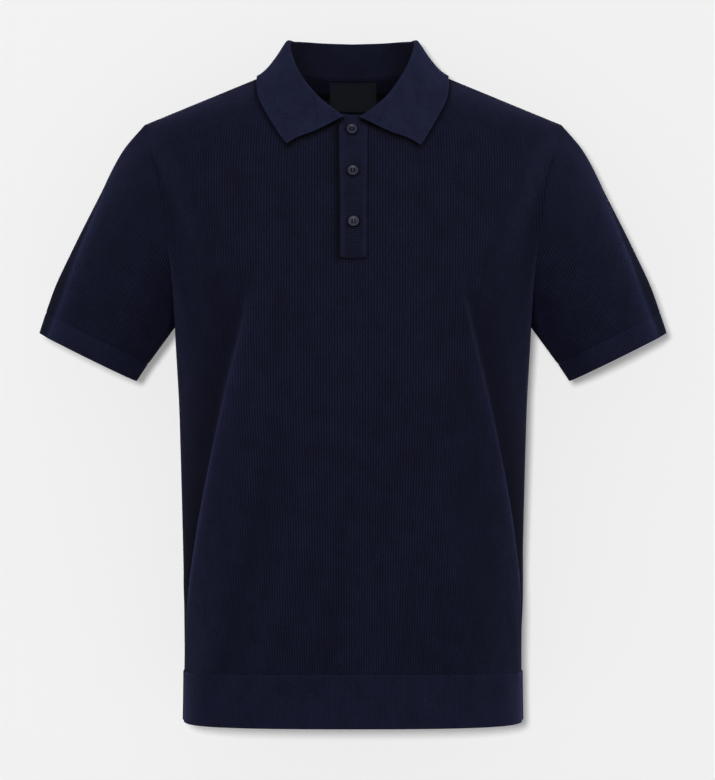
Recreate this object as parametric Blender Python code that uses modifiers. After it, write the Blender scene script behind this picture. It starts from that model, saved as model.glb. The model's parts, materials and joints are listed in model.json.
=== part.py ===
"""Short-sleeved knitted polo sweater, hollow and filled out as it hangs on the shoulders.

Frame: metres. X runs from the garment's own right side to its left side, which is left to
right for someone who faces it. -Y is its front and +Z is up. The origin is between the
shoulder seams, where the wearer's shoulders carry the sweater.

Every knitted piece is a wall of even thickness lofted between unlike sections, so its faces
are laid out by loops over a grid. Pieces that meet at a seam share the line of that seam and
the direction of the wall there, and each stays half a seam gap away from it.
"""

import math

import bpy
import numpy as np
from mathutils import Vector

MM = 0.001

# Cloth
KNIT_WALL = 1.8 * MM
COLLAR_WALL = 2.0 * MM
PLACKET_WALL = 1.6 * MM
SEAM_GAP = 0.3 * MM
# Least cosine between a wall and the shared direction at its seam, however sharp the fold
LEAST_MITRE = 0.5

# Body, hem and placket heights
HEM_EDGE = -691 * MM
HEM_SEAM_SIDE = -638 * MM
HEM_SEAM_RISE = 5 * MM
FRONT_BLEND_START = -267 * MM
SIDE_BLEND_DROP = 100 * MM
SLOT_FOOT = -199 * MM
SLOT_HALF_WIDTH = 15 * MM
PLACKET_PROUD = 1.2 * MM
PLACKET_TAB_HALF_WIDTH = 10.8 * MM
PLACKET_TAB_RISE = 9 * MM
UNDER_PLACKET_HALF_WIDTH = 17 * MM

# Grid counts: wales across a half panel, and courses up it
NECK_STEPS = 4
SHOULDER_STEPS = 5
ARMHOLE_STEPS = 10
ROWS_BELOW_SLOT = 9
ROWS_ABOVE_SLOT = (0.24, 0.46, 0.66, 0.82, 0.93, 1.0)
SLEEVE_ROWS = 8
COLLAR_SUBDIVISION_FRONT = 3
COLLAR_SUBDIVISION_BACK = 2
LABEL_COLUMNS = 5
LABEL_ROWS = 4
BUTTON_SIDES = 20

# Fineness of the curves that grids are measured on, and of the facets that pieces rest on
CURVE_SAMPLES = 400
OVAL_BUNCHING = 1.2
SLOPE_STEP = 10 * MM
REST_PARTS = 6
SETTLING_STEPS = 3
SHARP_ANGLE = 50

# Body sections: height, half width, front depth, back depth, squareness of the oval
BODY_SECTIONS = (
    (-0.691, 0.1822, 0.103, 0.098, 2.95),
    (-0.638, 0.1815, 0.110, 0.103, 2.85),
    (-0.551, 0.1822, 0.118, 0.106, 2.65),
    (-0.470, 0.1840, 0.123, 0.105, 2.55),
    (-0.389, 0.1862, 0.127, 0.107, 2.50),
    (-0.324, 0.1884, 0.128, 0.113, 2.50),
    (-0.267, 0.1920, 0.127, 0.119, 2.45),
)

# Neck seam: x, y, z from the centre to the high point of the shoulder
FRONT_NECKLINE = (
    (0.0000, -0.0710, -0.0520),
    (SLOT_HALF_WIDTH, -0.0700, -0.0505),
    (0.0400, -0.0610, -0.0390),
    (0.0630, -0.0390, -0.0170),
    (0.0760, 0.0040, 0.0130),
)
BACK_NECKLINE = (
    (0.0000, 0.0560, 0.0035),
    (0.0220, 0.0540, 0.0040),
    (0.0440, 0.0460, 0.0055),
    (0.0640, 0.0300, 0.0080),
    (0.0760, 0.0040, 0.0130),
)
SHOULDER_POINT = (0.2255, 0.0040, -0.0485)

# Armhole seam: x, y, z from the shoulder point to the underarm
FRONT_ARMHOLE = (
    SHOULDER_POINT,
    (0.2180, -0.0240, -0.0780),
    (0.2085, -0.0450, -0.1090),
    (0.2030, -0.0570, -0.1410),
    (0.1980, -0.0610, -0.1725),
    (0.1940, -0.0530, -0.2080),
    (0.1920, -0.0320, -0.2430),
    (0.1920, 0.0000, -0.2670),
)
BACK_ARMHOLE = (
    SHOULDER_POINT,
    (0.2190, 0.0290, -0.0760),
    (0.2100, 0.0510, -0.1080),
    (0.2045, 0.0640, -0.1410),
    (0.1990, 0.0680, -0.1750),
    (0.1945, 0.0590, -0.2100),
    (0.1920, 0.0350, -0.2450),
    (0.1920, 0.0000, -0.2670),
)

# Way in which the cloth arrives at the top edge: share of the half panel, then x, y, z
FRONT_ARRIVAL = (
    (0.00, 0.00, 0.42, 0.91),
    (0.15, 0.00, 0.48, 0.88),
    (0.24, 0.00, 0.62, 0.78),
    (0.30, 0.00, 0.82, 0.50),
    (0.40, 0.12, 0.95, 0.20),
    (0.50, 0.35, 0.90, 0.06),
    (0.57, 0.36, 0.55, 0.75),
    (0.66, 0.26, 0.18, 0.94),
    (0.80, 0.08, 0.02, 0.99),
    (1.00, 0.04, 0.00, 1.00),
)
BACK_ARRIVAL = (
    (0.00, 0.00, -0.42, 0.91),
    (0.15, 0.00, -0.46, 0.89),
    (0.24, 0.00, -0.58, 0.81),
    (0.30, 0.00, -0.80, 0.54),
    (0.40, 0.12, -0.95, 0.20),
    (0.50, 0.35, -0.90, 0.06),
    (0.57, 0.36, -0.55, 0.75),
    (0.66, 0.26, -0.18, 0.94),
    (0.80, 0.08, -0.02, 0.99),
    (1.00, 0.04, 0.00, 1.00),
)
NECK_SHARE = 0.29
SHOULDER_SHARE = 0.50
CHEST_SHARE = 0.73
CHEST_STEP = 6

# Sleeve profile: x, z of the over-arm edge, then x, z of the under-arm edge
SLEEVE_PROFILE = (
    (0.2255, -0.0485, 0.1920, -0.2670),
    (0.2470, -0.0745, 0.1962, -0.2726),
    (0.2620, -0.1010, 0.2000, -0.2778),
    (0.2850, -0.1460, 0.2066, -0.2868),
    (0.3050, -0.1870, 0.2126, -0.2950),
    (0.3220, -0.2240, 0.2180, -0.3024),
    (0.3318, -0.2513, 0.2212, -0.3065),
)
CUFF_END = (0.3390, -0.2734, 0.2338, -0.3254)
SLEEVE_HALF_DEPTH = 0.064
CUFF_HALF_DEPTH = 0.046
ARMHOLE_FADE = 2.0

# Collar: place along the neck seam (0 at the front end, 1 at the shoulder, 2 at the centre
# back), then x, y, z of the roll line, then x, y, z of the outer edge
COLLAR_STATIONS = (
    (0.00, 0.0118, -0.0775, -0.0455, 0.0718, -0.0860, -0.0708),
    (0.18, 0.0222, -0.0735, -0.0385, 0.0780, -0.0800, -0.0622),
    (0.37, 0.0358, -0.0640, -0.0245, 0.0845, -0.0720, -0.0512),
    (0.60, 0.0492, -0.0500, -0.0045, 0.0918, -0.0560, -0.0360),
    (0.82, 0.0590, -0.0310, 0.0165, 0.0985, -0.0330, -0.0172),
    (1.00, 0.0662, 0.0020, 0.0396, 0.1030, 0.0040, 0.0045),
    (1.29, 0.0610, 0.0330, 0.0442, 0.0945, 0.0500, -0.0030),
    (1.65, 0.0330, 0.0560, 0.0446, 0.0560, 0.0800, -0.0100),
    (2.00, 0.0000, 0.0620, 0.0440, 0.0000, 0.0900, -0.0130),
)
ROLL_RADIUS = 2.6 * MM
ROLL_ANGLES = (0, 45, 90, 135)
LEAF_PLACES = (0.35, 0.7, 1.0)
LEAF_HOLLOW = 3.0 * MM
LEAF_REST = 3.0 * MM
LEAF_CLEARANCE = 4.2 * MM

# Folds of the body: face, share and height of the top, share and height of the foot,
# rise of the ridge (negative for a trough) and its half width in metres
BODY_FOLDS = (
    ("front", -0.56, -0.300, -0.86, -0.560, 4.5 * MM, 0.013),
    ("front", -0.76, -0.300, -0.99, -0.500, -3.5 * MM, 0.016),
    ("front", 0.60, -0.320, 0.90, -0.545, 4.5 * MM, 0.013),
    ("front", 0.80, -0.320, 0.99, -0.480, -3.5 * MM, 0.016),
    ("front", -0.36, -0.470, -0.46, -0.610, -2.0 * MM, 0.014),
    ("front", 0.02, -0.540, -0.03, -0.625, -1.8 * MM, 0.014),
    ("front", 0.74, -0.560, 0.80, -0.630, 2.0 * MM, 0.010),
    ("back", -0.58, -0.290, -0.84, -0.540, 4.0 * MM, 0.014),
    ("back", 0.62, -0.310, 0.88, -0.560, 4.2 * MM, 0.013),
    ("back", -0.20, -0.380, -0.34, -0.600, -2.5 * MM, 0.018),
    ("back", 0.26, -0.360, 0.30, -0.590, -2.2 * MM, 0.016),
    ("back", 0.02, -0.330, 0.05, -0.500, 2.0 * MM, 0.016),
)
FOLD_FADE = 0.30
QUARTER_GIRTH_DEPTH = 0.55
SIDE_SEAM_CALM = 8
TOP_EDGE_CALM = 6

BUTTON_RADIUS = 5.9 * MM
BUTTON_THICKNESS = 2.6 * MM
BUTTON_WELL_RADIUS = 3.6 * MM
BUTTON_WELL_DEPTH = 0.7 * MM
BUTTON_PLACES = ((-0.0010, -0.0600), (0.0, -0.1048), (0.0007, -0.1588))
BUTTON_EDGE = 0.6 * MM

LABEL_HALF_WIDTH = 25.8 * MM
LABEL_TOP = 2.2 * MM
LABEL_DROP = 32 * MM
LABEL_WALL = 1.0 * MM

MATERIALS = {
    "rib_knit": ((0.0088, 0.0098, 0.0225), 0.85),
    "smooth_knit": ((0.0140, 0.0150, 0.0330), 0.80),
    "band_knit": ((0.0105, 0.0115, 0.0260), 0.85),
    "button_resin": ((0.0250, 0.0280, 0.0420), 0.25),
    "label_satin": ((0.0065, 0.0070, 0.0095), 0.60),
}


def clear_scene():
    for obj in list(bpy.data.objects):
        bpy.data.objects.remove(obj, do_unlink=True)


def make_material(name):
    colour, roughness = MATERIALS[name]
    material = bpy.data.materials.get(name) or bpy.data.materials.new(name)
    material.use_nodes = True
    shader = material.node_tree.nodes["Principled BSDF"]
    shader.inputs["Base Color"].default_value = (*colour, 1.0)
    shader.inputs["Roughness"].default_value = roughness
    shader.inputs["Metallic"].default_value = 0.0
    return material


# ---------------------------------------------------------------- curves and tables


def cubic(u, start, start_slope, end, end_slope):
    """The curve from start, at u = 0, to end, at u = 1, that has these slopes there."""
    return (
        (2 * u**3 - 3 * u**2 + 1) * start
        + (u**3 - 2 * u**2 + u) * start_slope
        + (3 * u**2 - 2 * u**3) * end
        + (u**3 - u**2) * end_slope
    )


def smooth_through(keys, values, at):
    """Cubic through the rows of a table: slopes are those of the chord between neighbours."""
    keys = np.asarray(keys, float)
    values = np.asarray(values, float).reshape(len(keys), -1)
    slopes = np.gradient(values, keys, axis=0)
    at = np.clip(np.asarray(at, float), keys[0], keys[-1])
    left = np.clip(np.searchsorted(keys, at, side="right") - 1, 0, len(keys) - 2)
    width = keys[left + 1] - keys[left]
    u = ((at - keys[left]) / width)[..., None]
    width = width[..., None]
    right = left + 1
    return cubic(u, values[left], width * slopes[left], values[right], width * slopes[right])


def lengths_along(points):
    steps = np.linalg.norm(np.diff(points, axis=0), axis=1)
    return np.concatenate([[0.0], np.cumsum(steps)])


def evenly_spaced(points, steps):
    """Points at equal distances along the smooth curve through a table of points."""
    points = np.asarray(points, float)
    keys = lengths_along(points)
    fine = smooth_through(keys, points, np.linspace(0, keys[-1], CURVE_SAMPLES))
    along = lengths_along(fine)
    wanted = np.linspace(0, along[-1], steps + 1)
    return np.stack([np.interp(wanted, along, fine[:, axis]) for axis in range(3)], axis=1)


def subdivided(points, parts):
    """The same broken line with each of its straight pieces divided into equal parts."""
    fractions = np.arange(parts)[:, None] / parts
    pieces = [a + (b - a) * fractions for a, b in zip(points[:-1], points[1:])]
    return np.concatenate([*pieces, points[-1:]])


# ---------------------------------------------------------------- body surface


def section_points(heights, shares, face):
    """Points of the body's ovals: shares is 0 at the centre line and 1 at the side seam."""
    table = np.array(BODY_SECTIONS)
    sizes = smooth_through(table[:, 0], table[:, 1:], heights)
    half_width = sizes[..., 0]
    depth = sizes[..., 1] if face == "front" else sizes[..., 2]
    power = 2 / sizes[..., 3]
    angles = math.pi / 2 * np.linspace(0, 1, CURVE_SAMPLES) ** OVAL_BUNCHING
    out = np.empty((*np.shape(heights), 3))
    for place in np.ndindex(*np.shape(heights)):
        x = half_width[place] * np.sin(angles) ** power[place]
        y = depth[place] * np.abs(np.cos(angles)) ** power[place]
        along = lengths_along(np.stack([x, y], axis=1))
        share = abs(shares[place]) * along[-1]
        out[place] = (np.interp(share, along, x), np.interp(share, along, y), 0)
    out[..., 0] *= np.sign(shares)
    out[..., 1] *= -1 if face == "front" else 1
    out[..., 2] = heights
    return out


def top_edge(face):
    """Half of a panel's top edge, from the centre to the underarm, with each point's share."""
    neckline = np.array(FRONT_NECKLINE if face == "front" else BACK_NECKLINE)
    armhole = evenly_spaced(FRONT_ARMHOLE if face == "front" else BACK_ARMHOLE, ARMHOLE_STEPS)
    shoulder = subdivided(np.array([neckline[-1], SHOULDER_POINT]), SHOULDER_STEPS)
    points = np.concatenate([neckline[:-1], shoulder[:-1], armhole])
    neck_shares = neckline[:-1, 0] / neckline[-1, 0] * NECK_SHARE
    shoulder_shares = np.linspace(NECK_SHARE, SHOULDER_SHARE, SHOULDER_STEPS + 1)[:-1]
    armhole_shares = np.interp(
        np.arange(ARMHOLE_STEPS + 1),
        (0, CHEST_STEP, ARMHOLE_STEPS),
        (SHOULDER_SHARE, CHEST_SHARE, 1),
    )
    return points, np.concatenate([neck_shares, shoulder_shares, armhole_shares])


def mirrored_columns(points, shares):
    """A half edge and its mirror image, from the -X side to the +X side."""
    left = points[:0:-1] * (-1, 1, 1)
    return np.concatenate([left, points]), np.concatenate([-shares[:0:-1], shares])


def hem_seam_height(shares):
    return HEM_SEAM_SIDE + HEM_SEAM_RISE * (1 - shares**2)


def fold_relief(face, shares, heights):
    """How far the folds lift the cloth: a soft ridge along each line, fading at its ends.

    Nothing is lifted at the side seams, so that the front and back still meet there.
    """
    relief = np.zeros_like(heights)
    table = np.array(BODY_SECTIONS)
    quarter_girth = table[:, 1].mean() + table[:, 2].mean() * QUARTER_GIRTH_DEPTH
    for on_face, top_share, top, foot_share, foot, rise, half_width in BODY_FOLDS:
        if on_face != face:
            continue
        along = (heights - top) / (foot - top)
        line = top_share + (foot_share - top_share) * along
        across = (shares - line) * quarter_girth / half_width
        ends = np.clip((along + FOLD_FADE) / FOLD_FADE, 0, 1)
        ends *= np.clip((1 + FOLD_FADE - along) / FOLD_FADE, 0, 1)
        ends = ends * ends * (3 - 2 * ends)
        relief += rise * np.exp(-across * across) * ends
    return relief * (1 - shares**SIDE_SEAM_CALM)


def body_surface(face, shares, tops, fractions):
    """Outer side of a panel: a row for each fraction of the way up, a column for each share."""
    arrival_table = np.array(FRONT_ARRIVAL if face == "front" else BACK_ARRIVAL)
    arrival = smooth_through(arrival_table[:, 0], arrival_table[:, 1:], np.abs(shares))
    arrival[:, 0] *= np.sign(shares)
    arrival /= np.linalg.norm(arrival, axis=1, keepdims=True)
    foot = hem_seam_height(shares)
    start = FRONT_BLEND_START - SIDE_BLEND_DROP * shares**2
    heights = foot + (tops[:, 2] - foot) * np.asarray(fractions)[:, None]
    columns = np.broadcast_to(shares, heights.shape)
    lower = section_points(np.minimum(heights, start), columns, face)
    leave = section_points(start, shares, face)
    below = section_points(start - SLOPE_STEP, shares, face)
    reach = np.linalg.norm(tops - leave, axis=1, keepdims=True)
    u = np.clip((heights - start) / (tops[:, 2] - start), 0, 1)[..., None]
    upper = cubic(u, leave, (leave - below) / SLOPE_STEP * reach, tops, arrival * reach)
    points = np.where(u > 0, upper, lower)
    below_top = 1 - np.asarray(fractions)[:, None] ** TOP_EDGE_CALM
    return lift_along_normals(points, fold_relief(face, columns, heights) * below_top)


def lift_along_normals(points, relief):
    if not relief.any():
        return points
    return points + grid_normals(points) * relief[..., None]


def grid_normals(points, closed=False):
    """Unit normals of a grid of points, pointing to the outer side of the cloth."""
    along = np.gradient(points, axis=0)
    if closed:
        across = (np.roll(points, -1, axis=1) - np.roll(points, 1, axis=1)) / 2
    else:
        across = np.gradient(points, axis=1)
    normals = np.cross(across, along)
    return normals / np.linalg.norm(normals, axis=-1, keepdims=True)


def row_fractions():
    """Fractions of the way up a panel, one of which puts a row at the foot of the slot."""
    trial = np.linspace(0, 1, CURVE_SAMPLES)
    tops, shares = top_edge("front")
    centre = body_surface("front", shares[:2], tops[:2], trial)
    slot = np.interp(SLOT_FOOT, centre[:, 0, 2], trial)
    below = np.linspace(0, slot, ROWS_BELOW_SLOT + 1)
    above = slot + (1 - slot) * np.array(ROWS_ABOVE_SLOT)
    return np.concatenate([below, above])


def body_panel(face):
    """Grid of a body panel. The back runs from +X to -X, so that its outer side faces out."""
    tops, shares = mirrored_columns(*top_edge(face))
    grid = body_surface(face, shares, tops, row_fractions())
    return grid if face == "front" else grid[:, ::-1]


def hem_panel(face):
    """Grid of a hem band, from its lower edge up to the seam."""
    _, shares = mirrored_columns(*top_edge(face))
    seam = hem_seam_height(shares)
    fractions = np.array([0.0, 1.0])[:, None]
    heights = HEM_EDGE + (seam - HEM_EDGE) * fractions
    columns = np.broadcast_to(shares, heights.shape)
    grid = section_points(heights, columns, face)
    grid = lift_along_normals(grid, fold_relief(face, columns, heights))
    return grid if face == "front" else grid[:, ::-1]


# ---------------------------------------------------------------- sleeves


def armhole_ring():
    """The +X armhole as a closed ring: down the back edge, then up the front edge."""
    front = evenly_spaced(FRONT_ARMHOLE, ARMHOLE_STEPS)
    back = evenly_spaced(BACK_ARMHOLE, ARMHOLE_STEPS)
    return np.concatenate([back[:-1], front[:0:-1]])


def profile_ring(over_x, over_z, under_x, under_z, half_depth):
    """An oval through the over-arm and under-arm edges, in step with the armhole's ring."""
    turn = np.linspace(0, 2 * math.pi, 2 * ARMHOLE_STEPS, endpoint=False)[:, None]
    over = np.array([over_x, 0, over_z])
    under = np.array([under_x, 0, under_z])
    depth = np.array([0, half_depth, 0])
    return (over + under) / 2 + (over - under) / 2 * np.cos(turn) + depth * np.sin(turn)


def sleeve_grid():
    """Rows from the cuff seam up to the armhole, whose own shape fades along the sleeve."""
    armhole = armhole_ring()
    table = np.array(SLEEVE_PROFILE)
    keys = lengths_along(table[:, :2])
    fractions = np.linspace(0, 1, SLEEVE_ROWS + 1)
    profile = smooth_through(keys, table, fractions * keys[-1])
    own_shape = armhole - profile_ring(*profile[0], SLEEVE_HALF_DEPTH)
    rows = []
    for fraction, edges in zip(fractions, profile):
        half_depth = SLEEVE_HALF_DEPTH + (CUFF_HALF_DEPTH - SLEEVE_HALF_DEPTH) * fraction
        ring = profile_ring(*edges, half_depth)
        rows.append(ring + own_shape * (1 - fraction) ** ARMHOLE_FADE)
    return np.array(rows[::-1])


def cuff_grid():
    seam = profile_ring(*SLEEVE_PROFILE[-1], CUFF_HALF_DEPTH)
    end = profile_ring(*CUFF_END, CUFF_HALF_DEPTH)
    return np.array([end, seam])


def mirrored_tube(grid):
    """The same tube on the -X side, turned so that its outer side still faces out."""
    return np.roll(grid[:, ::-1], 1, axis=1) * (-1, 1, 1)


# ---------------------------------------------------------------- shared walls


class Wall:
    """A piece of cloth: its outer grid, and the direction of the wall at each grid point."""

    def __init__(self, name, grid, closed=False, thickness=KNIT_WALL):
        self.name = name
        self.outer = grid
        self.closed = closed
        self.thickness = thickness
        self.normals = grid_normals(grid, closed)


def share_seam_normals(walls):
    """Pieces that meet at a point of a seam share one direction there, half way between theirs.

    Panels count as one side of the seam and tubes as the other. Where a seam is a sharp fold,
    the shared direction is longer, so that the wall keeps more of its thickness beside it.
    """
    meeting = {}
    for wall in walls:
        for place in np.ndindex(wall.outer.shape[:2]):
            key = tuple(np.round(wall.outer[place] / MM, 2))
            meeting.setdefault(key, []).append((wall, place))
    for members in meeting.values():
        if len(members) < 2:
            continue
        sides = {}
        for wall, place in members:
            sides.setdefault(wall.closed, []).append(wall.normals[place])
        sides = [sum(normals) / np.linalg.norm(sum(normals)) for normals in sides.values()]
        shared = sum(sides) / np.linalg.norm(sum(sides))
        shared /= max(shared @ sides[0], LEAST_MITRE)
        for wall, place in members:
            wall.normals[place] = shared


def seam_pull(outer, normals, closed, row_edges, column_edges):
    """Moves the edges that are seams half a gap into the piece, square to the seam.

    At the side seams every row of the body runs straight from front to back.
    """
    moved = np.zeros_like(outer)
    rows, columns = outer.shape[:2]
    if closed:
        along_rows = np.roll(outer, -1, axis=1) - np.roll(outer, 1, axis=1)
    else:
        along_rows = np.gradient(outer, axis=1)
        along_rows[:, [0, -1]] *= (0, 1, 0)
    along_columns = np.gradient(outer, axis=0)
    for row in row_edges:
        inward = 1 if row == 0 else -1
        push = np.cross(normals[row], along_rows[row]) * inward
        moved[row] += push / np.linalg.norm(push, axis=-1, keepdims=True)
    for column in column_edges:
        inward = -1 if column == 0 else 1
        push = np.cross(normals[:, column], along_columns[:, column]) * inward
        moved[:, column] += push / np.linalg.norm(push, axis=-1, keepdims=True)
    return moved * SEAM_GAP / 2


def split_cell(vertices, a, b, c, d):
    """Two triangles of a cell, cut along its shorter diagonal."""
    if np.linalg.norm(vertices[a] - vertices[c]) < np.linalg.norm(vertices[b] - vertices[d]):
        return (a, b, c), (a, c, d)
    return (a, b, d), (b, c, d)


def wall_faces(vertices, rows, columns, closed=False, missing=()):
    """Quads of the outer and inner grids, and the rim along every open edge.

    The rims of two pieces face each other at a seam and may be twisted, so each is split from
    the lower of its two outer corners, the same way on both pieces.
    """
    count = rows * columns
    last = columns if closed else columns - 1
    cells = {(r, c) for r in range(rows - 1) for c in range(last)} - set(missing)

    def corner(row, column):
        return row * columns + column % columns

    faces = []
    for row, column in sorted(cells):
        a, b = corner(row, column), corner(row, column + 1)
        c, d = corner(row + 1, column + 1), corner(row + 1, column)
        for first, second, third in split_cell(vertices, a, b, c, d):
            faces.append((first, second, third))
            faces.append((count + third, count + second, count + first))
        beside = {
            (a, b): (row - 1, column),
            (b, c): (row, column + 1),
            (c, d): (row + 1, column),
            (d, a): (row, column - 1),
        }
        for (start, end), (near_row, near_column) in beside.items():
            near = (near_row, near_column % columns if closed else near_column)
            if near in cells:
                continue
            if vertices[start][2] < vertices[end][2]:
                faces.append((end, start, count + end))
                faces.append((start, count + start, count + end))
            else:
                faces.append((end, start, count + start))
                faces.append((end, count + start, count + end))
    return faces


def make_mesh_object(name, vertices, faces, material, parent):
    used = sorted({index for face in faces for index in face})
    renumber = {old: new for new, old in enumerate(used)}
    points = [tuple(vertices[index]) for index in used]
    mesh = bpy.data.meshes.new(name)
    mesh.from_pydata(points, [], [[renumber[index] for index in face] for face in faces])
    mesh.materials.append(make_material(material))
    mesh.shade_smooth()
    mesh.set_sharp_from_angle(angle=math.radians(SHARP_ANGLE))
    obj = bpy.data.objects.new(name, mesh)
    parent.objects.link(obj)
    return obj


def build_wall(wall, parent, material, row_edges=(), column_edges=(), missing=()):
    """Turns a wall into a closed solid, pulled back from its seams."""
    pull = seam_pull(wall.outer, wall.normals, wall.closed, row_edges, column_edges)
    outer = wall.outer + pull
    inner = outer - wall.normals * wall.thickness
    rows, columns = outer.shape[:2]
    vertices = np.concatenate([outer.reshape(-1, 3), inner.reshape(-1, 3)])
    faces = wall_faces(vertices, rows, columns, wall.closed, missing)
    return make_mesh_object(wall.name, vertices, faces, material, parent)


def slot_cells(columns):
    """Cells of the front that are cut away behind the plackets."""
    middle = (columns - 1) // 2
    rows = range(ROWS_BELOW_SLOT, ROWS_BELOW_SLOT + len(ROWS_ABOVE_SLOT))
    return [(row, column) for row in rows for column in (middle - 1, middle)]


# ---------------------------------------------------------------- collar


def collar_seam_points(front, back):
    """Outer and inner points of the neck seam round the neck, with their normals' means."""
    middle = (front.outer.shape[1] - 1) // 2
    half = range(1, NECK_STEPS + 1)
    front_outer = front.outer[-1, [middle + i for i in half]]
    front_normals = front.normals[-1, [middle + i for i in half]]
    back_columns = [middle - i for i in range(NECK_STEPS, -1, -1)]
    back_outer = back.outer[-1, back_columns]
    back_normals = back.normals[-1, back_columns]
    outer = np.concatenate(
        [
            subdivided(front_outer, COLLAR_SUBDIVISION_FRONT)[:-1],
            subdivided(back_outer, COLLAR_SUBDIVISION_BACK),
        ]
    )
    inner = np.concatenate(
        [
            subdivided(front_outer - front_normals * KNIT_WALL, COLLAR_SUBDIVISION_FRONT)[:-1],
            subdivided(back_outer - back_normals * KNIT_WALL, COLLAR_SUBDIVISION_BACK),
        ]
    )
    return outer, inner


def collar_profiles(seam, rest):
    """Middle of the collar's wall: a row of nine points for each place on the half seam."""
    shoulder = (NECK_STEPS - 1) * COLLAR_SUBDIVISION_FRONT
    along = lengths_along(seam)
    to_shoulder = along[shoulder]
    behind_shoulder = 1 + (along - to_shoulder) / (along[-1] - to_shoulder)
    places = np.where(along < to_shoulder, along / to_shoulder, behind_shoulder)
    table = np.array(COLLAR_STATIONS)
    stations = smooth_through(table[:, 0], table[:, 1:], places)
    roll, edge = stations[:, :3], stations[:, 3:]
    up = roll - seam
    up /= np.linalg.norm(up, axis=1, keepdims=True)
    out = edge - roll
    out -= (out * up).sum(axis=1, keepdims=True) * up
    out /= np.linalg.norm(out, axis=1, keepdims=True)
    hub = roll - up * ROLL_RADIUS
    arc = [
        hub + ROLL_RADIUS * (math.sin(angle) * up - math.cos(angle) * out)
        for angle in np.radians(ROLL_ANGLES)
    ]
    hollow = np.cross(edge - roll, np.gradient(roll, axis=0))
    hollow /= np.linalg.norm(hollow, axis=1, keepdims=True)
    first = arc[-1]
    edge = np.array([rest.settled(point, LEAF_REST) for point in edge])
    leaf = []
    for place in LEAF_PLACES:
        sag = LEAF_HOLLOW * 4 * place * (1 - place)
        leaf.append(first + (edge - first) * place - hollow * sag)
    leaf[:-1] = [[rest.cleared(point, LEAF_CLEARANCE) for point in row] for row in leaf[:-1]]
    stand = (seam + arc[0]) / 2
    return np.stack([seam, stand, *arc, *leaf], axis=1)


def build_collar(front, back, rest, parent):
    outer_seam, inner_seam = collar_seam_points(front, back)
    middle = collar_profiles((outer_seam + inner_seam) / 2, rest)
    left = middle[-2::-1] * (-1, 1, 1)
    grid = np.concatenate([middle, left]).transpose(1, 0, 2)
    normals = grid_normals(grid)
    outer = grid + normals * COLLAR_WALL / 2
    inner = grid - normals * COLLAR_WALL / 2
    outer[0] = np.concatenate([outer_seam, outer_seam[-2::-1] * (-1, 1, 1)])
    inner[0] = np.concatenate([inner_seam, inner_seam[-2::-1] * (-1, 1, 1)])
    across = outer[0] - inner[0]
    across /= np.linalg.norm(across, axis=1, keepdims=True)
    lift = np.cross(across, np.gradient(outer[0], axis=0))
    lift /= np.linalg.norm(lift, axis=1, keepdims=True)
    outer[0] += lift * SEAM_GAP
    inner[0] += lift * SEAM_GAP
    rows, columns = grid.shape[:2]
    vertices = np.concatenate([outer.reshape(-1, 3), inner.reshape(-1, 3)])
    faces = wall_faces(vertices, rows, columns)
    return make_mesh_object("collar", vertices, faces, "smooth_knit", parent)


# ---------------------------------------------------------------- what lies on the panels


def finely(grid):
    """A grid of points with each of its cells divided, so that it follows the same facets."""
    columns = np.array([subdivided(column, REST_PARTS) for column in grid.swapaxes(0, 1)])
    return np.array([subdivided(row, REST_PARTS) for row in columns.swapaxes(0, 1)])


class Rest:
    """The outer side of one or more panels, which other pieces are laid on."""

    def __init__(self, walls):
        self.points = np.concatenate([finely(wall.outer).reshape(-1, 3) for wall in walls])
        normals = np.concatenate([finely(wall.normals).reshape(-1, 3) for wall in walls])
        self.normals = normals / np.linalg.norm(normals, axis=1, keepdims=True)

    def nearest(self, point):
        index = np.argmin(((self.points - point) ** 2).sum(axis=1))
        return self.points[index], self.normals[index]

    def settled(self, point, distance, least_push=-math.inf):
        """The point, moved along the panel's normal in a few steps to this distance from it."""
        for _ in range(SETTLING_STEPS):
            place, normal = self.nearest(point)
            point = point + normal * max(least_push, distance - (point - place) @ normal)
        return point

    def cleared(self, point, distance):
        """The point, moved out only where it is nearer to the panel than this distance."""
        return self.settled(point, distance, least_push=0.0)

    def facing(self, x, z):
        """The panel's point straight behind x, z, and its normal."""
        offsets = self.points[:, [0, 2]] - (x, z)
        index = np.argmin((offsets**2).sum(axis=1))
        place, normal = self.points[index], self.normals[index]
        slope = normal[0] * (x - place[0]) + normal[2] * (z - place[2])
        return np.array([x, place[1] - slope / normal[1], z]), normal


def placket_strip(front):
    """The front's own points and normals where the slot is, from its foot to past the neck."""
    middle = (front.outer.shape[1] - 1) // 2
    points = front.outer[ROWS_BELOW_SLOT:, middle - 1 : middle + 2].copy()
    normals = front.normals[ROWS_BELOW_SLOT:, middle - 1 : middle + 2]
    upward = points[1] - points[0]
    points[0] += upward / np.linalg.norm(upward, axis=1, keepdims=True) * SEAM_GAP
    onward = np.array(FRONT_ARRIVAL[0][1:]) / np.linalg.norm(FRONT_ARRIVAL[0][1:])
    tab = np.stack([points[-1] + onward * SEAM_GAP, points[-1] + onward * PLACKET_TAB_RISE])
    return np.concatenate([points, tab]), np.concatenate([normals, normals[-1:], normals[-1:]])


def build_placket(name, front, half_width, lift, parent):
    """A strip up the front, whose inner side is lifted off the panel's outer side."""
    points, normals = placket_strip(front)
    widening = np.full((len(points), 1, 1), half_width / SLOT_HALF_WIDTH)
    widening[-2:] = PLACKET_TAB_HALF_WIDTH / SLOT_HALF_WIDTH
    centre = points[:, 1:2]
    grid = centre + (points - centre) * widening
    outer = grid + normals * (lift + PLACKET_WALL)
    inner = grid + normals * lift
    vertices = np.concatenate([outer.reshape(-1, 3), inner.reshape(-1, 3)])
    faces = wall_faces(vertices, *grid.shape[:2])
    return make_mesh_object(name, vertices, faces, "band_knit", parent)


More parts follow.
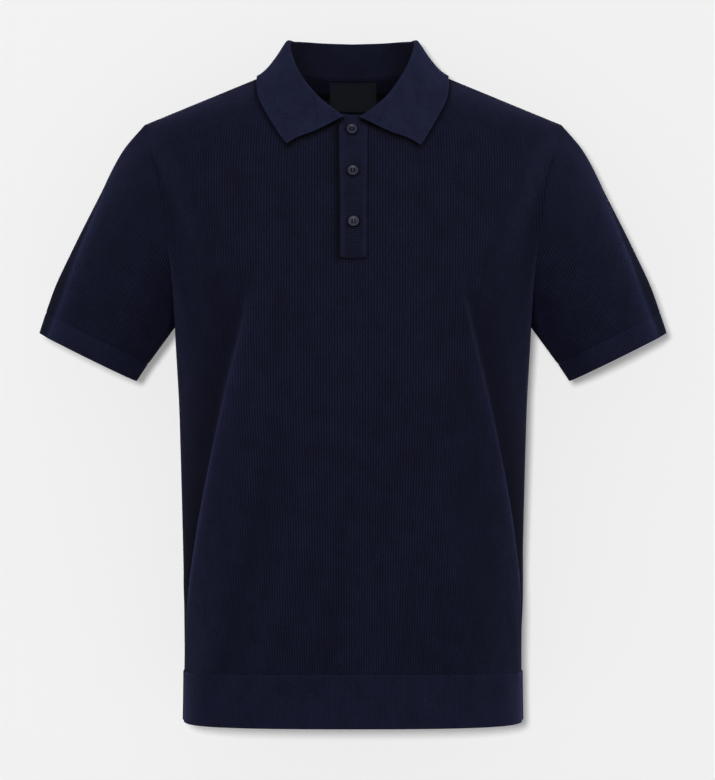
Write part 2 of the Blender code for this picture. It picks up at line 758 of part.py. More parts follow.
def build_button(name, place, normal, parent):
    """A turned disc with a rounded edge and a well in its face, lying on the placket."""
    face = BUTTON_THICKNESS
    profile = [
        (0, face - BUTTON_WELL_DEPTH),
        (BUTTON_WELL_RADIUS, face - BUTTON_WELL_DEPTH),
        (BUTTON_WELL_RADIUS + BUTTON_EDGE, face),
        (BUTTON_RADIUS - BUTTON_EDGE, face),
        (BUTTON_RADIUS, face - BUTTON_EDGE),
        (BUTTON_RADIUS, BUTTON_EDGE),
        (BUTTON_RADIUS - BUTTON_EDGE, 0),
        (0, 0),
    ]
    mesh = bpy.data.meshes.new(name)
    edges = [(i, i + 1) for i in range(len(profile) - 1)]
    mesh.from_pydata([(r, 0, z) for r, z in profile], edges, [])
    mesh.materials.append(make_material("button_resin"))
    obj = bpy.data.objects.new(name, mesh)
    turn = obj.modifiers.new("turned", "SCREW")
    turn.steps = BUTTON_SIDES
    turn.render_steps = BUTTON_SIDES
    turn.use_merge_vertices = True
    turn.merge_threshold = 0.01 * MM
    obj.location = place + normal * (PLACKET_PROUD + SEAM_GAP)
    obj.rotation_mode = "QUATERNION"
    obj.rotation_quaternion = Vector(normal).to_track_quat("Z", "Y")
    parent.objects.link(obj)
    return obj


def build_buttons(front, parent):
    middle = (front.outer.shape[1] - 1) // 2
    line = front.outer[ROWS_BELOW_SLOT:, middle]
    normals = front.normals[ROWS_BELOW_SLOT:, middle]
    for number, (x, z) in enumerate(BUTTON_PLACES, start=1):
        place = np.array([np.interp(z, line[:, 2], line[:, axis]) for axis in range(3)])
        place[0] = x
        normal = np.array([np.interp(z, line[:, 2], normals[:, axis]) for axis in range(3)])
        build_button(f"button_{number}", place, normal / np.linalg.norm(normal), parent)


def build_label(back_rest, parent):
    """A bare satin label inside the back neck, a seam gap off the panel's inner side."""
    across = np.linspace(LABEL_HALF_WIDTH, -LABEL_HALF_WIDTH, LABEL_COLUMNS)
    heights = np.linspace(LABEL_TOP - LABEL_DROP, LABEL_TOP, LABEL_ROWS)
    outer = np.empty((len(heights), len(across), 3))
    inner = np.empty_like(outer)
    for place in np.ndindex(outer.shape[:2]):
        point, normal = back_rest.facing(across[place[1]], heights[place[0]])
        outer[place] = point - normal * (KNIT_WALL + 2 * SEAM_GAP)
        inner[place] = outer[place] - normal * LABEL_WALL
    vertices = np.concatenate([outer.reshape(-1, 3), inner.reshape(-1, 3)])
    faces = wall_faces(vertices, *outer.shape[:2])
    return make_mesh_object("neck_label", vertices, faces, "label_satin", parent)


def main():
    clear_scene()
    sweater = bpy.data.collections.new("polo_sweater")
    bpy.context.scene.collection.children.link(sweater)
    front = Wall("front", body_panel("front"))
    back = Wall("back", body_panel("back"))
    hem_front = Wall("hem_band_front", hem_panel("front"))
    hem_back = Wall("hem_band_back", hem_panel("back"))
    sleeve_left = Wall("sleeve_left", sleeve_grid(), closed=True)
    sleeve_right = Wall("sleeve_right", mirrored_tube(sleeve_grid()), closed=True)
    cuff_left = Wall("cuff_left", cuff_grid(), closed=True)
    cuff_right = Wall("cuff_right", mirrored_tube(cuff_grid()), closed=True)
    walls = [front, back, hem_front, hem_back, sleeve_left, sleeve_right, cuff_left, cuff_right]
    share_seam_normals(walls)
    top = front.outer.shape[0] - 1
    ends = (0, front.outer.shape[1] - 1)
    missing = slot_cells(front.outer.shape[1])
    build_wall(front, sweater, "rib_knit", (0, top), ends, missing)
    build_wall(back, sweater, "rib_knit", (0, top), ends)
    for hem in (hem_front, hem_back):
        build_wall(hem, sweater, "band_knit", (1,), ends)
    for sleeve in (sleeve_left, sleeve_right):
        build_wall(sleeve, sweater, "rib_knit", (0, SLEEVE_ROWS))
    for cuff in (cuff_left, cuff_right):
        build_wall(cuff, sweater, "band_knit", (1,))
    build_collar(front, back, Rest([front, back, sleeve_left, sleeve_right]), sweater)
    upper_lift = PLACKET_PROUD - PLACKET_WALL
    build_placket("placket_upper", front, SLOT_HALF_WIDTH - SEAM_GAP, upper_lift, sweater)
    under_lift = -(KNIT_WALL + 2 * SEAM_GAP + PLACKET_WALL)
    build_placket("placket_under", front, UNDER_PLACKET_HALF_WIDTH, under_lift, sweater)
    build_buttons(front, sweater)
    build_label(Rest([back]), sweater)


main()
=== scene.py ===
# %% [markdown]
# # A knitted polo sweater, dressed
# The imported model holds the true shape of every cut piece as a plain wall. This lesson
# dresses it: each piece becomes a finer shell on the same form, with its creases, its ribs,
# its seams and its finish. All sizes are in metres, the front faces -Y and +Z is up.

import json
import math

import bmesh
import bpy
import numpy as np
from mathutils import Matrix, Vector

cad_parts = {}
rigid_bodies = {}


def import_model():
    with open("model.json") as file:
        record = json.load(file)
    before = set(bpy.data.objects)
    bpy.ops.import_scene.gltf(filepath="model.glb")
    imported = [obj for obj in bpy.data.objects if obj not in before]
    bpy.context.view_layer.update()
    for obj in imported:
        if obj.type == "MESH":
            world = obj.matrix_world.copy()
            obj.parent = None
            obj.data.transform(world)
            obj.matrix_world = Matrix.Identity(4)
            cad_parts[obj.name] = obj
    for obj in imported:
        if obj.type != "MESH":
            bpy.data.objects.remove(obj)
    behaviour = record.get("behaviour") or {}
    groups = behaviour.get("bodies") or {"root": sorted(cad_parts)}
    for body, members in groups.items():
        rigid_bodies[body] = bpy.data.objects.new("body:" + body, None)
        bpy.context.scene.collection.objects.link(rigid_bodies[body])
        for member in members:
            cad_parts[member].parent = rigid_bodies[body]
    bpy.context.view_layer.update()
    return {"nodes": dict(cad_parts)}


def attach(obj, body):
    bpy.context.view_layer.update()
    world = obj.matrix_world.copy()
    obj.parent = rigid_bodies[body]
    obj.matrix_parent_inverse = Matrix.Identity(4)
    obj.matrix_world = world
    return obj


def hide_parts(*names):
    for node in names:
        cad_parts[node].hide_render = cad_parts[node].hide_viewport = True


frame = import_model()
MM = 0.001
UP = (0, 0, 1)
print("nodes:", ", ".join(sorted(frame["nodes"])))

# %% [markdown]
# ## Curves through short tables
# A maker's pattern is a few measured points joined by fair curves. The same idea serves
# here: each table has a row for each section, and a cubic through the rows gives the rest.
# A spline library would do it too, but four lines of arithmetic show what happens.


# %% Curves
def cubic(u, start, start_slope, end, end_slope):
    """Formula: the cubic that leaves start at u = 0 and meets end at u = 1, with those slopes."""
    return (
        (2 * u**3 - 3 * u**2 + 1) * start
        + (u**3 - 2 * u**2 + u) * start_slope
        + (3 * u**2 - 2 * u**3) * end
        + (u**3 - u**2) * end_slope
    )


def smooth_through(keys, values, at):
    """Formula: a cubic from row to row, each with the slope of the chord past it."""
    keys = np.asarray(keys, float)
    values = np.asarray(values, float).reshape(len(keys), -1)
    slopes = np.gradient(values, keys, axis=0)
    at = np.clip(np.asarray(at, float), keys[0], keys[-1])
    left = np.clip(np.searchsorted(keys, at, side="right") - 1, 0, len(keys) - 2)
    width = keys[left + 1] - keys[left]
    u = ((at - keys[left]) / width)[..., None]
    width = width[..., None]
    right = left + 1
    return cubic(u, values[left], width * slopes[left], values[right], width * slopes[right])


def lengths_along(points):
    """Formula: running total of the steps between points, up each column."""
    steps = np.linalg.norm(np.diff(points, axis=0), axis=-1)
    return np.concatenate([np.zeros((1, *steps.shape[1:])), np.cumsum(steps, axis=0)])


def lengths_across(points):
    """Formula: running total of the steps between points, along each row."""
    return lengths_along(points.swapaxes(0, 1)).T


def unrolled(grid):
    """A tube's grid with its first column once more at the end."""
    return np.concatenate([grid, grid[:, :1]], axis=1)


def read_line(at, keys, line):
    """Formula: every column of a line, read by straight steps between its rows' keys."""
    return np.stack([np.interp(at, keys, column) for column in line.T], axis=-1)


def at_share(points, share):
    """Formula: the point at a share of the length of the fair curve through a table."""
    points = np.asarray(points, float)
    keys = lengths_along(points)
    fine = smooth_through(keys, points, np.linspace(0, keys[-1], 400))
    along = lengths_along(fine)
    return read_line(np.asarray(share) * along[-1], along, fine)


def unit(vectors):
    """Formula: each vector divided by its own length."""
    return vectors / np.linalg.norm(vectors, axis=-1, keepdims=True)


def bell(distance, width):
    """Formula: exp(-(distance / width) squared), which is 1 at 0 and fades on both sides."""
    return np.exp(-((distance / width) ** 2))


def surface_normals(points, closed=False):
    """Formula: the cross product of the steps along the rows and up the columns."""
    up = np.gradient(points, axis=0)
    if closed:
        across = (np.roll(points, -1, axis=1) - np.roll(points, 1, axis=1)) / 2
    else:
        across = np.gradient(points, axis=1)
    return unit(np.cross(across, up))


print("a cubic, level at both ends, a quarter of the way:", cubic(0.25, 0, 0, 1, 0))


# %% [markdown]
# ## The form of the body
# Worn cloth has no box in it. Each level of the body is an oval, wider than it is deep and
# a little square, and above the chest the cloth leaves that oval and runs up to the neck,
# the shoulder and the armhole. The tables repeat the named sizes of the solids, because
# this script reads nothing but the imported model.

# %% Sizes of the body
HEM_EDGE = -691 * MM
HEM_SEAM_SIDE = -638 * MM
HEM_SEAM_RISE = 5 * MM
HEM_SEAM_MIDDLE = HEM_SEAM_SIDE + HEM_SEAM_RISE
BLEND_START = -267 * MM
SIDE_BLEND_DROP = 100 * MM

# height, half width, front depth, back depth, squareness of the oval
BODY_SECTIONS = np.array([
    (-0.691, 0.1822, 0.103, 0.098, 2.95),
    (-0.638, 0.1815, 0.110, 0.103, 2.85),
    (-0.551, 0.1822, 0.118, 0.106, 2.65),
    (-0.470, 0.1840, 0.123, 0.105, 2.55),
    (-0.389, 0.1862, 0.127, 0.107, 2.50),
    (-0.324, 0.1884, 0.128, 0.113, 2.50),
    (-0.267, 0.1920, 0.127, 0.119, 2.45),
])
# neck seam from the centre to the high point of the shoulder: x, y, z
FRONT_NECKLINE = np.array([
    (0.0000, -0.0710, -0.0520),
    (0.0150, -0.0700, -0.0505),
    (0.0400, -0.0610, -0.0390),
    (0.0630, -0.0390, -0.0170),
    (0.0760, 0.0040, 0.0130),
])
BACK_NECKLINE = np.array([
    (0.0000, 0.0560, 0.0035),
    (0.0220, 0.0540, 0.0040),
    (0.0440, 0.0460, 0.0055),
    (0.0640, 0.0300, 0.0080),
    (0.0760, 0.0040, 0.0130),
])
SHOULDER_POINT = (0.2255, 0.0040, -0.0485)
# armhole seam from the shoulder point to the underarm: x, y, z
FRONT_ARMHOLE = np.array([
    SHOULDER_POINT,
    (0.2180, -0.0240, -0.0780),
    (0.2085, -0.0450, -0.1090),
    (0.2030, -0.0570, -0.1410),
    (0.1980, -0.0610, -0.1725),
    (0.1940, -0.0530, -0.2080),
    (0.1920, -0.0320, -0.2430),
    (0.1920, 0.0000, -0.2670),
])
BACK_ARMHOLE = np.array([
    SHOULDER_POINT,
    (0.2190, 0.0290, -0.0760),
    (0.2100, 0.0510, -0.1080),
    (0.2045, 0.0640, -0.1410),
    (0.1990, 0.0680, -0.1750),
    (0.1945, 0.0590, -0.2100),
    (0.1920, 0.0350, -0.2450),
    (0.1920, 0.0000, -0.2670),
])
# way in which the cloth arrives at its top edge: share of the half panel, x, y, z
FRONT_ARRIVAL = np.array([
    (0.00, 0.00, 0.42, 0.91),
    (0.15, 0.00, 0.48, 0.88),
    (0.24, 0.00, 0.62, 0.78),
    (0.30, 0.00, 0.82, 0.50),
    (0.40, 0.12, 0.95, 0.20),
    (0.50, 0.35, 0.90, 0.06),
    (0.57, 0.36, 0.55, 0.75),
    (0.66, 0.26, 0.18, 0.94),
    (0.80, 0.08, 0.02, 0.99),
    (1.00, 0.04, 0.00, 1.00),
])
BACK_ARRIVAL = np.array([
    (0.00, 0.00, -0.42, 0.91),
    (0.15, 0.00, -0.46, 0.89),
    (0.24, 0.00, -0.58, 0.81),
    (0.30, 0.00, -0.80, 0.54),
    (0.40, 0.12, -0.95, 0.20),
    (0.50, 0.35, -0.90, 0.06),
    (0.57, 0.36, -0.55, 0.75),
    (0.66, 0.26, -0.18, 0.94),
    (0.80, 0.08, -0.02, 0.99),
    (1.00, 0.04, 0.00, 1.00),
])
# shares of the half panel at which its top edge turns a corner or changes its spacing
NECK_SHARE, SHOULDER_SHARE, CHEST_SHARE, UNDERARM_SHARE = 0.29, 0.50, 0.73, 1.0
CHEST_PLACE = 0.6
print(f"{len(BODY_SECTIONS)} sections from {HEM_EDGE / MM:.0f} to {BLEND_START / MM:.0f} mm")

# %% [markdown]
# ## The body as a surface of two numbers
# A sculptor would push clay. Here a point of the body is worked out from two numbers: its
# share of the half width, and its fraction of the way up. Whole arrays of both give a whole
# grid at once, so the same functions serve the panels, the hem bands and the placket.

# %% Surfaces of the body
OVAL_LEVELS = np.linspace(HEM_EDGE, BLEND_START, 90)
QUARTER_POINTS = 400
CORNER_CROWDING = 1.2
LEAVING_STEP = 10 * MM


def ovals(face, shares):
    """Formula: x = w sin(a)^(2/n), y = d cos(a)^(2/n), read at shares of a quarter's length."""
    sizes = smooth_through(BODY_SECTIONS[:, 0], BODY_SECTIONS[:, 1:], OVAL_LEVELS)
    angle = math.pi / 2 * np.linspace(0, 1, QUARTER_POINTS) ** CORNER_CROWDING
    power = 2 / sizes[:, 3:]
    depth = sizes[:, 1:2] if face == "front" else sizes[:, 2:3]
    x = sizes[:, :1] * np.sin(angle) ** power
    y = depth * np.abs(np.cos(angle)) ** power
    along = lengths_along(np.stack([x.T, y.T], axis=-1)).T
    wanted = np.abs(shares) * along[:, -1:]
    levels = list(zip(wanted, along, x, y))
    x = np.array([np.interp(w, a, x_row) for w, a, x_row, _ in levels]) * np.sign(shares)
    y = np.array([np.interp(w, a, y_row) for w, a, _, y_row in levels])
    z = np.broadcast_to(OVAL_LEVELS[:, None], x.shape)
    return np.stack([x, -y if face == "front" else y, z], axis=-1)


def on_ovals(table, heights):
    """Formula: a cubic between the two levels of the table next to each wanted height."""
    step = OVAL_LEVELS[1] - OVAL_LEVELS[0]
    place = np.clip((heights - HEM_EDGE) / step, 0, len(OVAL_LEVELS) - 1.001)
    level = place.astype(int)
    column = np.broadcast_to(np.arange(table.shape[1]), level.shape)
    slopes = np.gradient(table, axis=0)
    low, high = (level, column), (level + 1, column)
    return cubic((place - level)[..., None], table[low], slopes[low], table[high], slopes[high])


def top_line(face, shares):
    """Formula: the neckline, the straight shoulder, then the armhole, by share of the half."""
    neckline = FRONT_NECKLINE if face == "front" else BACK_NECKLINE
    armhole = FRONT_ARMHOLE if face == "front" else BACK_ARMHOLE
    share = np.abs(shares)
    x = share / NECK_SHARE * neckline[-1, 0]
    neck = smooth_through(neckline[:, 0], neckline, x)
    along = np.clip((share - NECK_SHARE) / (SHOULDER_SHARE - NECK_SHARE), 0, 1)[:, None]
    shoulder = neckline[-1] + (np.array(SHOULDER_POINT) - neckline[-1]) * along
    corners = (SHOULDER_SHARE, CHEST_SHARE, UNDERARM_SHARE)
    arm = at_share(armhole, np.interp(share, corners, (0, CHEST_PLACE, 1)))
    line = np.where((share <= NECK_SHARE)[:, None], neck, shoulder)
    line = np.where((share > SHOULDER_SHARE)[:, None], arm, line)
    line[:, 0] *= np.where(shares < 0, -1, 1)
    return line


def hem_seam_height(shares):
    """Formula: the side's height, plus a rise that fades with the square of the share."""
    return HEM_SEAM_SIDE + HEM_SEAM_RISE * (1 - shares**2)


def body_surface(face, shares, fractions):
    """Formula: ovals up to the blend, then a cubic from each oval to the panel's top edge."""
    tops = top_line(face, shares)
    table = ovals(face, shares)
    arrivals = FRONT_ARRIVAL if face == "front" else BACK_ARRIVAL
    arrival = smooth_through(arrivals[:, 0], arrivals[:, 1:], np.abs(shares))
    arrival[:, 0] *= np.sign(shares)
    arrival = unit(arrival)
    foot = hem_seam_height(shares)
    start = BLEND_START - SIDE_BLEND_DROP * shares**2
    heights = foot + (tops[:, 2] - foot) * fractions[:, None]
    lower = on_ovals(table, np.minimum(heights, start))
    leave = on_ovals(table, start[None])[0]
    below = on_ovals(table, start[None] - LEAVING_STEP)[0]
    reach = np.linalg.norm(tops - leave, axis=1, keepdims=True)
    u = np.clip((heights - start) / (tops[:, 2] - start), 0, 1)[..., None]
    upper = cubic(u, leave, (leave - below) / LEAVING_STEP * reach, tops, arrival * reach)
    return np.where(u > 0, upper, lower)


quarters = [lengths_along(ovals(face, np.linspace(0, 1, 60))[-1])[-1] for face in ("front", "back")]
print(f"round the chest: {2 * sum(quarters) / MM:.0f} mm")


# %% [markdown]
# ## Creases
# A filled-out sweater shows two long ridges where the front turns to the side, with a
# hollow beyond each, and a few faint drags near the hem. Cloth simulation could find some,
# but not these ones, so each is placed one by one: a soft ridge or trough along a line on the
# panel, as uneven in length, depth and width as real cloth makes them.

# %% Crease table
# A fold has a crest that the cloth rises to from the centre and drops from towards the side.
# face, share and height at its top, share and height at its foot, rise, drop beyond it, then
# how far it reaches towards the centre, how wide its drop is and how far that lasts, in mm,
# and last how strong the highlight painted on its crest is at the top and at the foot
FOLDS = [
    ("front", -0.434, -0.270, -0.766, -0.545, 3.0, 8.0, 26, 7, 40, 0.40, 2.15),
    ("front", 0.466, -0.270, 0.804, -0.540, 3.0, 7.0, 24, 6, 36, -0.05, 1.60),
    ("back", -0.580, -0.290, -0.840, -0.540, 3.0, 6.0, 24, 7, 36, 0.20, 1.50),
    ("back", 0.620, -0.310, 0.880, -0.560, 3.2, 6.5, 24, 7, 36, 0.20, 1.50),
]
# face, share and height at the top, share and height at the foot, rise, half width in mm, and
# how much painted light (above 0) or painted shade (below 0) lies along it
DRAGS = [
    ("front", -0.330, -0.400, -0.560, -0.630, -2.2, 13, -0.15),
    ("front", -0.160, -0.440, -0.420, -0.640, 2.0, 13, 0.13),
    ("front", -0.060, -0.500, -0.110, -0.640, -1.6, 9, -0.13),
    ("front", -0.030, -0.300, -0.050, -0.420, 1.2, 16, 0.07),
    ("front", 0.060, -0.560, 0.030, -0.640, 1.4, 9, 0.10),
    ("front", 0.640, -0.170, 0.800, -0.330, -1.5, 16, -0.16),
    ("front", 0.320, -0.430, 0.420, -0.520, 1.4, 14, 0.07),
    ("front", 0.740, -0.560, 0.800, -0.630, 2.0, 10, 0.08),
    ("front", -0.420, -0.360, -0.700, -0.670, 0.8, 38, 0.19),
    ("front", 0.460, -0.360, 0.680, -0.600, -0.6, 30, -0.08),
    ("front", 0.020, -0.500, 0.010, -0.680, 0.6, 70, 0.08),
    ("back", -0.200, -0.380, -0.340, -0.600, -2.5, 18, -0.12),
    ("back", 0.260, -0.360, 0.300, -0.590, -2.2, 16, -0.10),
    ("back", 0.020, -0.330, 0.050, -0.500, 2.0, 16, 0.08),
]
CREASE_FADE = 0.30
QUARTER_GIRTH = 251.3 * MM
CREST_ROUNDING = 1.5
# at a fold's top and at its foot: how dark the shade painted past the crest is, and how far
# the painted highlight lasts before the crest and past it, in mm
FOLD_DARK = (0.20, 0.88)
LIGHT_BEFORE = (8.0, 3.0)
LIGHT_PAST = (5.0, 1.3)
FOLD_LASTS = 60
print(f"{len(FOLDS)} folds and {len(DRAGS)} drags")

# %% [markdown]
# ## From a row of the table to a relief
# A displacement texture would need an image. A crease is simpler: its form depends on one
# number, the distance across its line, and it eases in and out along the line. The finish
# reads the same rows, and paints a highlight on each crest and shade on the cloth past it.


# %% Crease forms
def fold_form(distance, rise, drop, reach, width, last):
    """Formula: rise x exp(distance / reach) before the crest, and past it a bell curve down
    from the rise to the drop, which fades as exp(-(distance / last) squared)."""
    rounded = CREST_ROUNDING - np.hypot(distance, CREST_ROUNDING)
    before = rise * np.exp(rounded / reach)
    crest = bell(distance, width)
    beyond = rise * crest - drop * (1 - crest) * bell(distance, last)
    return np.where(distance < 0, before, beyond) * MM


def eased(share, fade):
    """Formula: 3t^2 - 2t^3 up over the fade before 0, and down again after 1."""
    ends = np.clip((share + fade) / fade, 0, 1) * np.clip((1 + fade - share) / fade, 0, 1)
    return ends * ends * (3 - 2 * ends)


def creases(table, face, shares, heights):
    """For each row of this face: distance past its line in mm, share of the way down, sizes."""
    for on_face, top_share, top, foot_share, foot, *sizes in table:
        if on_face == face:
            along = (heights - top) / (foot - top)
            line = top_share + (foot_share - top_share) * along
            side = np.sign(top_share + foot_share)
            yield side, (shares - line) * side * QUARTER_GIRTH / MM, along, sizes


def crease_relief(face, shares, heights):
    """Formula: for each crease, its form across its line x an ease along it, and all of it
    x (1 - share to the tenth), so that the side seams stay smooth."""
    relief = np.zeros(heights.shape)
    for _, outward, along, (*sizes, _, _) in creases(FOLDS, face, shares, heights):
        relief += fold_form(outward, *sizes) * eased(along, CREASE_FADE)
    for _, outward, along, (rise, half_width, _) in creases(DRAGS, face, shares, heights):
        relief += rise * bell(outward, half_width) * MM * eased(along, CREASE_FADE)
    return relief * (1 - shares**10)


def fold_lines(outward, light, dark, before, past):
    """Formula: the distance past the crest, and its painted highlight and shade x exp(-(distance /
    how far they last) squared) beyond it, with the reach of the highlight before it and past it."""
    fading = bell(np.maximum(outward, 0), FOLD_LASTS)
    lines = np.stack(np.broadcast_arrays(outward, light * fading, dark * fading), axis=-1)
    reaches = np.stack(np.broadcast_arrays(before + 0 * outward, past, 0.0), axis=-1)
    return {"fold": lines, "fold_reach": reaches}


def crease_tones(face, shares, heights):
    """The painted highlight and shade of this face's fold lines and drags, for the finish."""
    tones = {key: np.zeros((*heights.shape, 3)) for key in ("fold", "fold_reach")}
    for side, outward, along, (*_, light_top, light_foot) in creases(FOLDS, face, shares, heights):
        ease, down = eased(along, CREASE_FADE), np.clip(along, 0, 1)
        ends = ((light_top, light_foot), FOLD_DARK, LIGHT_BEFORE, LIGHT_PAST)
        light, dark, before, past = (top + (foot - top) * down for top, foot in ends)
        found = fold_lines(outward, light * ease, dark * ease, before, past)
        here = (shares * side >= 0)[:, None]
        tones = {key: np.where(here, found[key], tones[key]) for key in tones}
    # painted light or shade along each drag, carried to the finish
    tones["painted_shading"] = np.zeros(heights.shape)
    for _, outward, along, (_, half_width, light) in creases(DRAGS, face, shares, heights):
        tones["painted_shading"] += light * bell(outward, half_width) * eased(along, CREASE_FADE)
    return tones


across_fold = fold_form(np.arange(-20.0, 21.0, 10.0), *FOLDS[0][5:10]) / MM
print("across the first fold, mm:", np.round(across_fold, 1))


# %% [markdown]
# ## Ribs
# The body is knitted in fine vertical ribs, a stitch up and a stitch back, so the cloth is
# a row of small round cords. They run straight up the panel and are cut off by its edges.
# To follow them, every piece carries a UV map in which one unit across is one rib. The
# map is measured on the surface itself, at right angles to the ribs, from a start column.


# %% Rib map
def rib_places(points, up, start):
    """Formula: from column to column, the step between points of equal height along up."""
    height = points @ np.asarray(up)
    flat = points - height[..., None] * np.asarray(up)
    across = np.zeros(height.shape)
    columns = height.shape[1]
    for side in (1, -1):
        ends = range(start + 1, columns) if side == 1 else range(start - 1, -1, -1)
        for column in ends:
            near = column - side
            level = height[:, column]
            beside = read_line(level, height[:, near], flat[:, near])
            step = np.linalg.norm(flat[:, column] - beside, axis=-1)
            across[:, column] = np.interp(level, height[:, near], across[:, near]) + side * step
    return across


widths = np.ptp(rib_places(ovals("front", np.linspace(-1, 1, 61)), UP, 30), axis=1)
print(f"across the front's ribs: {widths[0] / MM:.0f} mm at the hem, {widths[-1] / MM:.0f} above")


# %% [markdown]
# ## From a surface to a piece of cloth
# Cloth has two faces and an edge. Solidify would give that, but then both edges of a seam
# would be blunt. Here the wall is built outright: the outer grid, the same grid moved in
# along its normals, and a rim wherever a cell has no neighbour.


# %% Cloth wall
SHARP_ANGLE = math.radians(65)


def cloth_mesh(name, outer, inner, uv, closed=False, keep=None, tones=None, inside=None):
    """Formula: quads between neighbours of both grids, and a quad from each bare edge in.
    keep says which cells there are, and tones and inside what the finish reads."""
    rows, columns = outer.shape[:2]
    cells = np.ones((rows - 1, columns if closed else columns - 1), bool)
    if keep is not None:
        cells &= keep
    r, c = np.nonzero(cells)
    on = (c + 1) % columns
    corners = np.stack([r * columns + c, r * columns + on, (r + 1) * columns + on,
                        (r + 1) * columns + c], axis=1)
    corner_uv = np.stack([uv[r, c], uv[r, c + 1], uv[r + 1, c + 1], uv[r + 1, c]], axis=1)
    starts = corners.ravel()
    ends = np.roll(corners, -1, axis=1).ravel()
    edge_uv = np.stack([corner_uv, np.roll(corner_uv, -1, axis=1)], axis=2).reshape(-1, 2, 2)
    low, high = np.minimum(starts, ends), np.maximum(starts, ends)
    _, index, uses = np.unique(low * rows * columns + high, return_inverse=True,
                               return_counts=True)
    bare = uses[index.ravel()] == 1
    depth = rows * columns
    rim = np.stack([ends[bare], starts[bare], starts[bare] + depth, ends[bare] + depth], axis=1)
    rim_uv = edge_uv[bare][:, [1, 0, 0, 1]]
    faces = np.concatenate([corners, corners[:, ::-1] + depth, rim])
    face_uv = np.concatenate([corner_uv, corner_uv[:, ::-1], rim_uv])
    points = np.concatenate([outer.reshape(-1, 3), inner.reshape(-1, 3)])
    used, faces = np.unique(faces, return_inverse=True)
    mesh = mesh_from(name, points[used], faces.reshape(-1, 4), face_uv)
    for key, grid in (tones or {}).items():
        within = (inside or {}).get(key, grid)
        values = np.concatenate([grid.reshape(depth, -1), within.reshape(depth, -1)])
        set_values(mesh, key, values[used])
    return mesh


def set_values(mesh, key, values):
    """Gives every point of a mesh its own number, or its own three."""
    kind, field = ("FLOAT_VECTOR", "vector") if values.shape[1] == 3 else ("FLOAT", "value")
    layer = mesh.attributes.new(key, kind, "POINT")
    layer.data.foreach_set(field, values.astype(np.float32).ravel())


def mesh_from(name, points, faces, face_uv):
    """A mesh of quads with a UV for each corner, smooth but for its sharp edges."""
    mesh = bpy.data.meshes.new(name)
    mesh.from_pydata(points, [], faces)
    layer = mesh.uv_layers.new(name="ribs")
    layer.uv.foreach_set("vector", face_uv.astype(np.float32).ravel())
    mesh.shade_smooth()
    mesh.set_sharp_from_angle(angle=SHARP_ANGLE)
    mesh.update()
    return mesh


def add_piece(name, mesh, material, slot, *nodes):
    """Puts a mesh in the scene, rides it on the one body, and lets it stand for its nodes."""
    piece = bpy.data.objects.new(name, mesh)
    bpy.context.scene.collection.objects.link(piece)
    mesh.materials.clear()
    mesh.materials.append(material)
    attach(piece, "root")
    if nodes:
        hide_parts(*nodes)
    print(f"{name}: {len(mesh.polygons)} faces")
    return piece


def level_line(grid, up):
    """Formula: the points of all columns that are as high as the lowest of their upper ends."""
    heights = grid @ np.asarray(up)
    if heights[0].mean() > heights[-1].mean():
        heights, grid = heights[::-1], grid[::-1]
    level = heights[-1].min()
    return np.array([read_line(level, heights[:, c], grid[:, c]) for c in range(grid.shape[1])])


def state_cut(piece, grid, held, *rests_on, up=None, closed=False):
    """Formula: a sheet as wide as its longest row, or where up is given as its level line, as
    long as its longest column, and of the sum of its cells' areas."""
    if closed:
        grid = unrolled(grid)
    rows = grid if up is None else level_line(grid, up)[None]
    width = float(lengths_across(rows)[:, -1].max())
    length = float(lengths_along(grid)[-1].max())
    one, other = grid[1:, 1:] - grid[:-1, :-1], grid[1:, :-1] - grid[:-1, 1:]
    area = float(np.linalg.norm(np.cross(one, other), axis=-1).sum() / 2)
    area = min(area, width * length)
    print(f"{piece.name}: cut {width / MM:.0f} x {length / MM:.0f} mm, {area * 1e4:.0f} square cm")


print("edges stay sharp past", round(math.degrees(SHARP_ANGLE)), "degrees")
